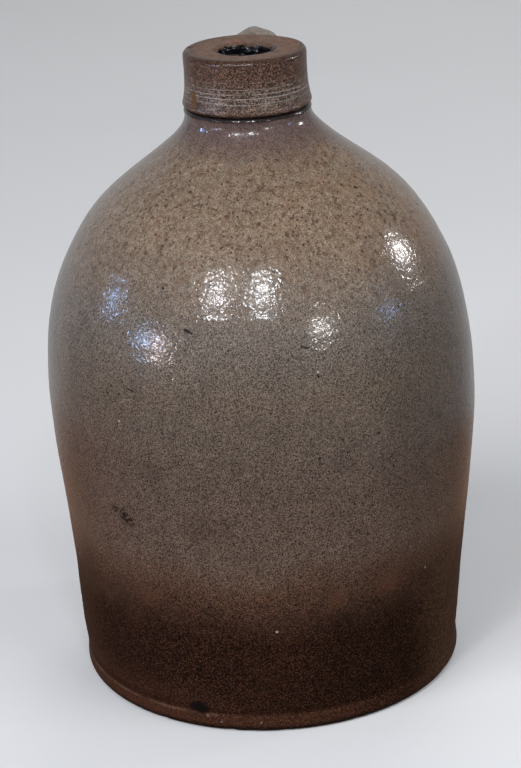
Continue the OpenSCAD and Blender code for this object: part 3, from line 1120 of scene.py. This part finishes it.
# Dark marks, from one pixel of the photograph to another: x, y, x, y, half width and ragged edge in mm.
# The blob at the foot comes first, then the pit, the dashes and the small dots.
SCRATCHES = (
    (195, 706, 204, 709, 2.6, 2.6),
    (199, 704, 200, 707, 2.0, 2.0),
    (185, 330.3, 188.5, 331.8, 0.75, 0.6),
    (190, 332.5, 192, 334, 0.4, 0.3),
    (127.5, 388.8, 133.5, 391.6, 0.42, 0.4),
    (110.8, 385, 111.6, 386, 0.55, 0.3),
    (106.2, 391.6, 108, 393, 0.4, 0.3),
    (162.8, 288.3, 163.2, 288.6, 0.5, 0.1),
    (129, 344.8, 129.3, 345, 0.45, 0.1),
    (301.5, 346.6, 307.5, 348.2, 0.55, 0.5),
    (317.6, 374.8, 318.6, 377, 0.55, 0.4),
    (343, 439.8, 343.2, 440.2, 0.5, 0.2),
    (378.8, 433, 379.2, 433.4, 0.6, 0.2),
    (288, 360, 288.3, 360.2, 0.5, 0.2),
    (319, 459, 319.3, 459.2, 0.5, 0.2),
    (355.5, 187, 356.5, 187.5, 0.7, 0.4),
    (357.6, 196, 358.4, 196.4, 0.6, 0.4),
    (416, 203.6, 418, 204.4, 0.7, 0.5),
)
# In the next tables each row gives pixel x and y, radius and ragged edge in mm, and strength.
# Soft stains: two drifts, a smudge, the halos of the darker marks, and two at the neck
STAINS = (
    (203, 530, 17.0, 8.0, 0.22),
    (150, 470, 12.0, 6.0, 0.12),
    (439, 415, 4.0, 2.0, 0.45),
    (200, 706, 6.5, 3.0, 0.4),
    (124, 519, 6.0, 4.0, 0.35),
    (112, 536, 5.0, 4.0, 0.2),
    (187, 331, 2.2, 0.6, 0.35),
    (189, 127, 4.5, 3.0, 0.35),
    (213, 120, 3.2, 2.5, 0.3),
)
# Rusty flushes at the upper edge of the flashed band
RUSTY_FLUSHES = (
    (388, 583, 11.0, 7.7, 0.34),
    (338, 598, 9.0, 6.3, 0.26),
    (150, 600, 10.0, 7.0, 0.18),
)
# Dark spatter, broken into crumbs
SPATTER = (
    (129.5, 520, 5.4, 2.2, 0.94),
    (124, 514, 5.0, 2.2, 0.94),
    (115.5, 508.5, 3.0, 2.2, 0.94),
)
# Pale specks of the wall, and pale nicks in the foot
PALE_MARKS = (
    (277, 632, 0.95, 0.1, 0.75),
    (425, 567, 0.7, 0.2, 0.6),
    (119, 421, 0.9, 0.3, 0.6),
    (318, 372, 0.8, 0.3, 0.7),
    (208, 715.5, 1.0, 1.8, 0.2),
    (222, 722, 0.8, 1.4, 0.25),
    (261.5, 722.5, 0.8, 1.4, 0.35),
)
# Dark middle of the ringed speck
SPECK_CORE = ((277, 632, 0.45, 0.0, 0.8),)
# Reddish flushes of the bare clay at the mouth
CLAY_FLUSHES = (
    (238, 41, 3.2, 3.0, 0.6),
    (228, 42, 2.6, 3.0, 0.55),
    (215, 52.5, 1.4, 3.0, 0.6),
    (290, 42, 3.5, 3.0, 0.3),
)
# The run of rusty glaze on the collar
OCHRE_RUN = (
    (193.5, 94, 2.8, 1.2, 0.8),
    (193.5, 98, 3.3, 1.2, 0.8),
    (194.5, 102, 3.2, 1.2, 0.8),
    (194.5, 105, 2.4, 1.2, 0.8),
)
# Pale streaks on the throwing lines of the collar: height and half width in mm, and strength
COLLAR_STREAKS = (
    (319.6, 0.3, 0.55),
    (322.4, 0.36, 0.75),
    (324.5, 0.36, 0.7),
    (327.0, 0.28, 0.5),
    (330.5, 0.24, 0.2),
)


# Refractive indices of the glaze, of the duller band and the floor, and of the slip
GLAZE_IOR = 1.5
DULL_IOR = 1.3
SLIP_IOR = 1.6
# What the dull glaze of the band mirrors is weak and warm
DULL_TINT = (1.0, 0.75, 0.6, 1.0)


# Finishes

def pebble_normal(paint, depth):
    """Orange peel of the salt glaze: small pebbles, and a slower unevenness under them."""
    peel = paint.cloud(2.0, 1.5, 0.45)
    slow = paint.cloud(5.5, 1.0, 0.5, shift=(11, 5, 3))
    return paint.bump(peel, depth, over=paint.bump(slow, 0.16))


def body_paint(surface):
    """Salt glaze of the body: buff and speckled above, grey and peppered at the belly, flashed dark below,
    with painted shade under the collar, on the flanks and at the sole, and painted reflections and edge light
    at the sides.
    """
    c = colours()
    paint = Paint("salt_glaze", surface)
    turn = studio().azimuth
    across = paint.x * math.cos(turn) + paint.y * math.sin(turn)
    drift = paint.cloud(70, 2.0, 0.5, shift=(20, 0, 7)) - 0.5
    wander = paint.cloud(16, 3.0, 0.55, shift=(0, 31, 4)) - 0.5
    height = (paint.z + drift * 22 + wander * 8) / (JUG_H / MM)
    paint.tone = paint.ramp(height, [
        (0.24, c.fringe), (0.30, c.tan), (0.44, c.umber), (0.55, c.dun), (0.65, c.grey), (0.78, c.buff),
        (0.86, darker(c.buff, 0.82)),
    ])
    upper = paint.fade(paint.z + wander * 20, *SHOULDER_ZONE)
    shoulder_mottle(paint, upper, across)
    paint.lay(paint.fade(paint.z + wander * 14, *NECK_ZONE) * 0.85, c.plum)
    # Pooled dark glaze and painted shade in the notch under the collar
    paint.lay(paint.fade(paint.z + wander * 0.8, *UNDERCUT_POOL_AND_SHADE_ZONE) * 0.92, c.soot_and_shade)
    cloudy = paint.cloud(9, 3.0, 0.6, shift=(3, 9, 0), stretch=(1, 1, 0.7))
    paint.shade(paint.fade(cloudy, 0.25, 0.75, 0.9, 1.1))
    rim = paint.fade(paint.unsigned(across), *RIM_SIDE)
    painted_side_light(paint, upper, rim, across)
    band = paint.fade(paint.z + drift * 26 + wander * 12, *BAND_ZONE)
    foot = paint.fade(paint.z + wander * 5, *FOOT_ZONE)
    paint.lay(band, c.chocolate)
    glow = band * (1.0 - band) * paint.patches(0.42, 0.6, 20, 3.0, 0.6, shift=(5, 5, 0))
    paint.lay(glow * 0.6, GLOW_TINT)
    # Painted shade: the flashed band darker towards the right
    paint.shade(1.0 - band * paint.fade(across, 0, 60) * 0.47)
    # Painted warm reflection at the flashed band's left edge
    paint.lay(band * rim * paint.fade(across, *BAND_LEFT_SIDE) * 0.8, BAND_RIM_REFLECTION_TINT)
    warm_foot = paint.fade(paint.z + wander * 16, *WARM_FOOT_ZONE) * paint.fade(across, 10, -70)
    paint.lay(warm_foot * 0.75, c.rust)
    foot_finish(paint, foot, wander, across)
    # Painted edge light towards the flashed band's right edge
    paint.lay(band * paint.fade(across + wander * 12, *BAND_RIGHT_SIDE) * 0.9, BAND_RIGHT_EDGE_LIGHT_TINT)
    salt_and_pepper(paint, upper, band, across)
    body_marks(paint)
    normal = pebble_normal(paint, 0.26)
    rough = 0.13 + band * 0.2 + foot * 0.12 + (cloudy - 0.5) * 0.06
    glossy = paint.shader(rough, normal, ior=GLAZE_IOR, coat=0.45, coat_rough=0.24)
    dull = paint.shader(0.48, normal, ior=DULL_IOR, specular=0.08, tint=DULL_TINT)
    return paint.finish(glossy, dull, band * 0.96)


def shoulder_mottle(paint, upper, across):
    """Brown speckles of the shoulder, warm and thick at its upper right."""
    c = colours()
    warm = paint.fade(across, -25, 60) * paint.fade(paint.z, *WARM_SHOULDER_ZONE)
    warm = warm * paint.patches(0.3, 0.62, 14, 2.0, 0.5, shift=(8, 8, 0))
    paint.lay(warm * 0.35, WARM_SHOULDER_TINT)
    soft = paint.patches(0.46, 0.6, 2.9, 3.0, 0.65, shift=(5, 1, 8), stretch=(1, 1, 0.75))
    paint.lay(soft * upper * 0.56, c.russet)
    pale = paint.patches(0.54, 0.7, 3.6, 2.0, 0.6, shift=(0, 6, 2))
    paint.lay(pale * upper * 0.34, PALE_MOTTLE_TINT)
    dark = paint.patches(0.585, 0.66, 3.4, 3.0, 0.6, stretch=(1, 1, 0.62))
    paint.lay(dark * (upper * 0.62 + 0.03), DARK_MOTTLE_TINT)
    spots = paint.specks(4.0, 0.3, 0.95, 0.5, stretch=(1, 1, 0.7))
    paint.lay(spots * (upper * 0.74 + 0.08), c.iron)
    freckles = paint.specks(2.1, 0.35, 0.9, 0.58, shift=(9, 4, 1), stretch=(1, 1, 0.8))
    freckles = freckles * paint.patches(0.36, 0.56, 9, 2.0, 0.5, shift=(1, 1, 9))
    paint.lay(freckles * upper * 0.9, FRECKLE_TINT)


def painted_side_light(paint, upper, rim, across):
    """Painted shade and painted light towards the jug's sides as the camera sees them: darker flanks, lighter
    upper edges, a warmer tint at the upper right edge, a painted warm reflection over warmer glaze low at the
    left, and a painted dark reflection at the lower edges.
    """
    left = paint.fade(across, *LEFT_SIDE)
    # Warmer glaze low at the left, with a painted warm reflection over it
    paint.lay(left * paint.fade(paint.z, 215, 150) * 0.5, LOW_LEFT_GLAZE_AND_REFLECTION_TINT)
    # Painted shade on the right flank and a little on the left, and painted light on the upper edges
    flank = paint.fade(across, *FLANK_SIDE) * (0.22 - upper * 0.14) + left * (0.03 + upper * 0.04)
    far = paint.fade(paint.unsigned(across), *FAR_SIDE) * upper
    paint.shade(1.0 - flank + rim * paint.fade(paint.z, 120, 190) * 0.1 + far * 0.07)
    paint.lay(paint.fade(across, *FAR_SIDE) * upper * 0.3, FAR_RIGHT_TINT)
    # Painted dark reflection at the lower edges
    paint.lay(rim * paint.fade(paint.z, 185, 125) * 0.5, LOW_RIM_REFLECTION_TINT)


def foot_finish(paint, foot, wander, across):
    """The foot band: rusty at the left and darker at the right by painted shade, with a line of painted shade
    in the cove over it, a painted highlight along its top at the left and a painted contact shadow at the
    sole.
    """
    c = colours()
    # burnt is painted shade: the foot darker towards the right
    burnt = paint.fade(across + wander * 60, 10, 85)
    paint.lay(foot * 0.8, paint.blend(burnt * 0.85, c.rust, darker(c.chocolate, 0.6)))
    # Painted shade in the cove over the band
    line = paint.fade(paint.z, 16, 12) * paint.fade(paint.z, 8.6, 11.2)
    paint.lay(line * 0.55, darker(c.chocolate, 0.5))
    # Painted highlight along the top of the band at the left
    glint = paint.fade(paint.z, 8.0, 8.8) * paint.fade(paint.z, 10.0, 9.2) * paint.fade(across, 10, -50)
    paint.lay(glint * paint.patches(0.38, 0.6, 9, 3.0, 0.6) * 0.3, GLINT_TINT)
    # Painted contact shadow at the sole
    paint.lay(paint.fade(paint.z, *CONTACT_SHADOW_ZONE) * 0.85, c.soot_and_shade)


def salt_and_pepper(paint, upper, band, across):
    """Dark and pale grains all over, under half a millimetre wide, and orange ones in the flashed band."""
    c = colours()
    grains = paint.grains(0.37)
    pepper = paint.fade(grains, 0.34, 0.24) * (0.78 - upper * 0.32)
    salt = paint.fade(grains, 0.76, 0.86)
    calm = 1.0 - band * paint.fade(across, -30, -95) * 0.6 - paint.fade(paint.z, 13, 9) * 0.35
    paint.shade(1.0 - (pepper - salt * (0.86 + band * 0.85 - upper * 0.36)) * calm)
    paint.lay(salt * band * 0.4, c.ember)
    dots = paint.specks(9.0, 0.3, 0.7, 0.45, shift=(2, 2, 2))
    paint.lay(dots * 0.9, c.soot_and_shade)


def body_marks(paint):
    """The single marks of this jug."""
    c = colours()
    paint.marks(darker(c.chocolate, 1.2), STAINS, 0.2, 3.5)
    paint.marks(RUSTY_FLUSH_TINT, RUSTY_FLUSHES, 0.1, 5.0)
    for x, y, to_x, to_y, half, ragged in SCRATCHES:
        paint.lay(paint.scratch((x, y), (to_x, to_y), half, ragged) * 0.92, c.soot_and_shade)
    crumbs = paint.patches(0.46, 0.5, 1.8, 3.0, 0.7, shift=(4, 0, 6))
    paint.marks(c.soot_and_shade, SPATTER, 0.35, 1.8, among=crumbs)
    paint.marks(c.salt, PALE_MARKS, 0.5, 1.2)
    paint.marks(c.soot_and_shade, SPECK_CORE, 0.4, 2.0)


def collar_paint(surface):
    """Thin glaze of the collar: brown and speckled above, greyer below, and bare clay on top."""
    c = colours()
    paint = Paint("collar_glaze", surface)
    low = paint.fade(paint.z + (paint.cloud(9, 4.0, 0.65) - 0.5) * 12, *COLLAR_GREY_ZONE)
    paint.tone = paint.blend(low, c.collar_brown, c.collar_grey)
    edge = paint.fade(paint.z + (paint.cloud(8, 2.0) - 0.5) * 2, *COLLAR_EDGE_ZONE)
    paint.lay(edge * 0.95, darker(c.collar_brown, 0.92))
    mottle = paint.cloud(5.0, 3.0, 0.6)
    paint.shade(paint.fade(mottle, 0.3, 0.7, 0.82, 1.2))
    red = paint.patches(0.5, 0.66, 3.0, 3.0, 0.6, shift=(9, 9, 2))
    paint.lay(red * (1.0 - low) * 0.3, COLLAR_RED_TINT)
    paint.lay(paint.patches(0.54, 0.66, 1.0, 3.0, 0.65, shift=(1, 4, 2)) * 0.52, c.iron)
    drawn = paint.cloud(0.9, 3.0, 0.6, stretch=(0.16, 0.16, 1), shift=(0, 0, 3))
    paint.shade(1.0 - paint.fade(drawn, 0.48, 0.36) * (low * 0.45 + 0.2))
    paint.lay(paint.fade(drawn, 0.55, 0.68) * (low * 0.55 + 0.08), COLLAR_DRAWN_TINT)
    grains = paint.grains(0.44, shift=(4, 4, 4))
    paint.shade(1.0 - paint.fade(grains, 0.36, 0.26) * 0.85)
    paint.lay(paint.fade(grains, 0.74, 0.84) * (low * 0.3 + 0.52), COLLAR_GRAIN_TINT)
    for height, half, strength in COLLAR_STREAKS:
        broken = paint.patches(0.34, 0.5, 16, 3.0, 0.6, shift=(height, 0, 0), stretch=(1, 1, 3))
        paint.lay(paint.stripe(height, half, 1.2) * broken * strength * 0.8, darker(c.salt, 0.8))
    # Painted shade under the collar's lower edge, over the notch
    paint.lay(paint.fade(paint.z, *COLLAR_UNDER_SHADE_ZONE) * 0.9, c.soot_and_shade)
    return collar_top(paint, mottle, grains)


def collar_top(paint, mottle, grains):
    """Bare clay on the collar's top, a dark line round its brink and slip splashed round the mouth."""
    c = colours()
    rim = JUG_H / MM
    side = paint.tone
    wide = (paint.x ** 2.0 + paint.y ** 2.0) ** 0.5
    edge = wide + (paint.cloud(10, 3.0, 0.6, shift=(2, 2, 8)) - 0.5) * 2.0
    top = paint.fade(edge, 29.6, 28.4) * paint.fade(paint.z, rim - 6, rim - 4)
    brink = paint.fade(edge, 27.0, 29.0) * paint.fade(paint.z, rim - 3.8, rim - 2.2)
    damp = paint.patches(0.35, 0.65, 6, 4.0, 0.6)
    paint.tone = paint.blend(damp * 0.75, c.dry_clay, darker(c.dry_clay, 0.55))
    paint.shade(paint.fade(grains, 0.0, 1.0, 0.66, 1.34))
    paint.lay(paint.patches(0.56, 0.64, 1.6, 3.0, 0.65, shift=(6, 2, 0)) * 0.6, c.iron)
    paint.marks(c.flush, CLAY_FLUSHES, 0.1, 2.5)
    paint.tone = paint.blend(top, side, paint.tone)
    paint.lay(brink * 0.6, darker(c.collar_brown, 0.42))
    mouth = wide + (paint.cloud(4.5, 3.0, 0.6, shift=(3, 3, 3)) - 0.5) * 6 + paint.fade(paint.y, -2, 8) * 1.6
    splash = paint.top(paint.fade(mouth, 17.1, 16.1), paint.mark(273.5, 47.5, 2.6, 0.6, 1.5, 2.0))
    splash = splash * paint.fade(paint.z, rim - 3, rim - 2)
    paint.lay(splash * 0.94, c.slip)
    paint.marks(c.ochre, OCHRE_RUN, 0.4, 1.5)
    rough = 0.34 + top * 0.26 - brink * 0.14 - splash * 0.4 + (mottle - 0.5) * 0.1
    fine = paint.cloud(1.0, 2.0, 0.55, shift=(7, 7, 7))
    normal = paint.bump(fine, 0.14, over=paint.bump(paint.cloud(4.0, 1.0), 0.2))
    return paint.finish(paint.shader(rough, normal, ior=GLAZE_IOR))


def strap_paint():
    """Pale salt glaze of the handle."""
    c = colours()
    paint = Paint("strap_glaze")
    mottle = paint.cloud(8.0, 3.0, 0.6)
    paint.tone = paint.blend(paint.fade(mottle, 0.35, 0.7) * 0.5, c.strap, darker(c.strap, 0.75))
    paint.lay(paint.fade(paint.z, 325, 290), darker(c.buff, 0.92))
    paint.lay(paint.patches(0.44, 0.62, 2.9, 3.0, 0.65, shift=(5, 1, 8)) * 0.4, c.russet)
    ribs = paint.cloud(2.4, 3.0, 0.6, stretch=(1, 0.12, 0.12))
    paint.shade(paint.fade(ribs, 0.3, 0.7, 0.82, 1.12))
    paint.lay(paint.patches(0.56, 0.66, 2.6, 3.0, 0.6) * 0.45, c.iron)
    grains = paint.grains(0.95)
    paint.shade(1.0 - paint.fade(grains, 0.34, 0.24) * 0.5 + paint.fade(grains, 0.76, 0.86) * 0.45)
    rough = 0.28 + (mottle - 0.5) * 0.12
    return paint.finish(paint.shader(rough, pebble_normal(paint, 0.12), ior=GLAZE_IOR))


def slip_paint():
    """Glossy dark slip, wiped off to the bare clay at the back and sides of the mouth."""
    c = colours()
    paint = Paint("dark_slip")
    rim = JUG_H / MM
    mottle = paint.cloud(4.0, 3.0, 0.6)
    paint.tone = paint.blend(paint.fade(mottle, 0.5, 0.7) * 0.5, c.slip, SLIP_BLUE_TINT)
    away = paint.top(paint.fade(paint.y, 1, 8), paint.fade(paint.unsigned(paint.x), 12.5, 14.5))
    bare = paint.fade(paint.z + (mottle - 0.5) * 5, rim - 2.9, rim - 2.1) * away
    paint.lay(bare * 0.92, darker(c.dry_clay, 0.75))
    rough = 0.05 + mottle * 0.06 + bare * 0.45
    normal = paint.bump(paint.cloud(2.2, 2.0, 0.5), 1.5)
    return paint.finish(paint.shader(rough, normal, ior=SLIP_IOR))


class JUG_OT_body_glaze(bpy.types.Operator):
    """Glazes both body sections, with the marks that the kiln left on them"""

    bl_idname = "jug.body_glaze"
    bl_label = "Body glaze"

    def execute(self, context):
        pieces = [bpy.data.objects[name] for name in ("lower_body_thrown", "shoulder_thrown")]
        glaze = body_paint(surface_tree(pieces))
        for piece in pieces:
            piece.data.materials.append(glaze)
        return {"FINISHED"}


# Soft lamps, each mirrored in the glaze at a pixel of the photograph:
# name, pixel x and y, distance in m, width and height in m, power in W, colour
LAMPS = (
    ("key_left", 219, 288, 1.3, 0.08, 0.18, 1.9, (0.93, 0.96, 1.0)),
    ("key_left_halo", 219, 291, 1.3, 0.11, 0.22, 1.0, (0.96, 0.90, 0.97)),
    ("key_right", 262, 289, 1.3, 0.09, 0.20, 2.2, (0.93, 0.96, 1.0)),
    ("key_right_halo", 261, 292, 1.3, 0.12, 0.24, 1.1, (0.86, 0.92, 1.0)),
    ("side_right", 403, 254, 1.4, 0.13, 0.18, 2.4, (1.0, 0.97, 0.98)),
    ("low_right", 323, 329, 1.6, 0.12, 0.15, 2.3, (1.0, 0.98, 0.96)),
    ("low_left_warm", 163, 324, 1.6, 0.10, 0.12, 2.2, (1.0, 0.84, 0.84)),
    ("low_left_cool", 147, 337, 1.6, 0.08, 0.18, 1.9, (0.36, 0.57, 1.0)),
    ("far_left_cool", 111, 303, 1.6, 0.07, 0.14, 1.5, (0.34, 0.55, 1.0)),
    ("far_right_cool", 390, 313, 1.6, 0.06, 0.10, 0.6, (0.30, 0.50, 1.0)),
)
# Wide lights that only brighten: name, which is also that of its power's setting, place and width in m
FILLS = (
    ("key_fill", (-1.2, -1.8, 2.3), 2.0),
    ("side_fill", (1.9, -0.9, 1.9), 1.8),
    ("back_fill", (0.4, 2.4, 2.0), 2.0),
)
FILL_TINT = (1.0, 0.97, 0.94)
FLOOR_R = 20.0
# The warmer light from below: where it begins and is full, as the upward part of a direction, and its colour,
# and the colour of the light above
LOW_GLOW_START = -0.36
LOW_GLOW_END = -0.42
LOW_GLOW_TINT = (0.55, 0.34, 0.25)
ROOM_TINT = (0.97, 0.98, 1.0)
# The paler light behind the jug: where it begins and is full, as the backward part of a direction, how many
# times as bright as the rest it is, and how far its middle is turned to the left
BACK_GLOW_START = 0.45
BACK_GLOW_END = 0.85
BACK_GLOW = 1.9
BACK_GLOW_TURN = math.radians(11)


class JUG_OT_stage(bpy.types.Operator):
    """Lays the floor, hangs the lamps and sets up the camera"""

    bl_idname = "jug.stage"
    bl_label = "Stage"

    def execute(self, context):
        scene = context.scene
        lay_floor(scene)
        place_camera(scene)
        light_world(scene)
        solids = surface_tree([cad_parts[node] for node in ("lower_body", "shoulder", "collar")])
        for row in LAMPS:
            hang_lamp(scene, solids, *row)
        for row in FILLS:
            hang_fill(scene, *row)
        scene.view_settings.view_transform = "Standard"
        return {"FINISHED"}


def lay_floor(scene):
    """A round floor, wide enough to fill the view, that the glaze doesn't mirror."""
    bm = bmesh.new()
    bmesh.ops.create_circle(bm, cap_ends=True, segments=96, radius=FLOOR_R)
    mesh = bpy.data.meshes.new("studio_floor")
    bm.to_mesh(mesh)
    bm.free()
    mesh.materials.append(floor_paint())
    floor = bpy.data.objects.new("studio_floor", mesh)
    scene.collection.objects.link(floor)
    floor.visible_glossy = False


def floor_paint():
    """Plain pale floor, faintly uneven."""
    c = colours()
    paint = Paint("pale_floor")
    drift = paint.cloud(300, 2.0)
    paint.tone = paint.blend(paint.fade(drift, 0.3, 0.7) * 0.3, c.paper, darker(c.paper, 0.94))
    normal = paint.bump(paint.cloud(1.5, 2.0), 0.02)
    return paint.finish(paint.shader(0.75 + drift * 0.1, normal, ior=DULL_IOR))


def place_camera(scene):
    """The camera, at the photograph's angle."""
    place, right, up, forward = camera_axes()
    data = bpy.data.cameras.new("camera")
    data.sensor_width = SENSOR
    data.lens = studio().focal * SENSOR / PHOTO_H
    camera = bpy.data.objects.new("camera", data)
    scene.collection.objects.link(camera)
    turn = Matrix((right, up, -forward)).transposed().to_4x4()
    camera.matrix_world = Matrix.Translation(place) @ turn
    scene.camera = camera


def light_world(scene):
    """Even light from above, a warmer and dimmer one from below, and a paler one from behind."""
    world = bpy.data.worlds.new("soft_room")
    world.use_nodes = True
    room = Nodes(world.node_tree)
    place = room.node("ShaderNodeTexCoord").outputs["Generated"]
    rise = room.node("ShaderNodeSeparateXYZ", {"Vector": place}).outputs["Z"]
    glow_range = {"Value": rise, "From Min": LOW_GLOW_END, "From Max": LOW_GLOW_START}
    above = room.node("ShaderNodeMapRange", glow_range).outputs["Result"]
    stops = [(0.0, solid(LOW_GLOW_TINT)), (1.0, solid(ROOM_TINT))]
    ramp = room.node("ShaderNodeValToRGB", {"Fac": above}, stops=stops)
    backward = (-math.sin(BACK_GLOW_TURN), math.cos(BACK_GLOW_TURN), 0.0)
    facing = room.vector("DOT_PRODUCT", {0: place, 1: backward}, "Value")
    level = studio().world
    strength = room.fade(facing, BACK_GLOW_START, BACK_GLOW_END, level, level * BACK_GLOW)
    glow = room.node("ShaderNodeBackground", {"Color": ramp.outputs["Color"], "Strength": strength})
    room.node("ShaderNodeOutputWorld", {"Surface": glow.outputs["Background"]})
    scene.world = world


def hang_light(scene, name, shape, width, power, tone, place, aim):
    """A lamp at a place, shining along a direction and hidden from the camera."""
    data = bpy.data.lights.new(name, "AREA")
    data.shape = shape
    data.size = width
    data.energy = power
    data.color = tone
    lamp = bpy.data.objects.new(name, data)
    scene.collection.objects.link(lamp)
    lamp.location = place
    lamp.rotation_mode = "QUATERNION"
    lamp.rotation_quaternion = aim.to_track_quat("-Z", "Y")
    lamp.visible_camera = False
    return lamp


def hang_lamp(scene, surface, name, x, y, distance, width, height, power, tone):
    """A soft lamp that the glaze mirrors at one pixel."""
    hit, normal = pixel_hit(surface, x, y)
    out = (hit - camera_axes()[0]).normalized().reflect(normal)
    lamp = hang_light(scene, name, "ELLIPSE", width, power, tone, hit + out * distance, -out)
    lamp.data.size_y = height


def hang_fill(scene, name, place, width):
    """A wide soft light that the glaze doesn't mirror."""
    place = Vector(place)
    power = getattr(studio(), name)
    lamp = hang_light(scene, name, "DISK", width, power, FILL_TINT, place, Vector((0, 0, SEAM_Z)) - place)
    lamp.visible_glossy = False


class JUG_PT_panel(bpy.types.Panel):
    """Buttons and settings of the jug"""

    bl_idname = "JUG_PT_panel"
    bl_label = "Stoneware jug"
    bl_space_type = "VIEW_3D"
    bl_region_type = "UI"
    bl_category = "Jug"

    def draw(self, context):
        column = self.layout.column()
        for operator in OPERATORS:
            column.operator(operator.bl_idname)
        for group in (sizes(), colours(), studio()):
            box = self.layout.box()
            for name in group.__annotations__:
                box.prop(group, name)


GROUPS = (JugSizes, JugColours, StudioSettings)
OPERATORS = (
    JUG_OT_lower_body,
    JUG_OT_shoulder,
    JUG_OT_collar,
    JUG_OT_strap_handle,
    JUG_OT_slip_lining,
    JUG_OT_body_glaze,
    JUG_OT_stage,
)


def register():
    """Registers the classes and the settings."""
    for group in GROUPS + OPERATORS + (JUG_PT_panel,):
        bpy.utils.register_class(group)
    bpy.types.Scene.jug_sizes = PointerProperty(type=JugSizes)
    bpy.types.Scene.jug_colours = PointerProperty(type=JugColours)
    bpy.types.Scene.jug_studio = PointerProperty(type=StudioSettings)


def unregister():
    """Takes them out again."""
    del bpy.types.Scene.jug_studio
    del bpy.types.Scene.jug_colours
    del bpy.types.Scene.jug_sizes
    for group in reversed(GROUPS + OPERATORS + (JUG_PT_panel,)):
        bpy.utils.unregister_class(group)


def main():
    """Builds every piece and the stage."""
    register()
    bpy.ops.jug.lower_body()
    bpy.ops.jug.shoulder()
    bpy.ops.jug.collar()
    bpy.ops.jug.strap_handle()
    bpy.ops.jug.slip_lining()
    bpy.ops.jug.body_glaze()
    bpy.ops.jug.stage()


if __name__ == "__main__":
    main()
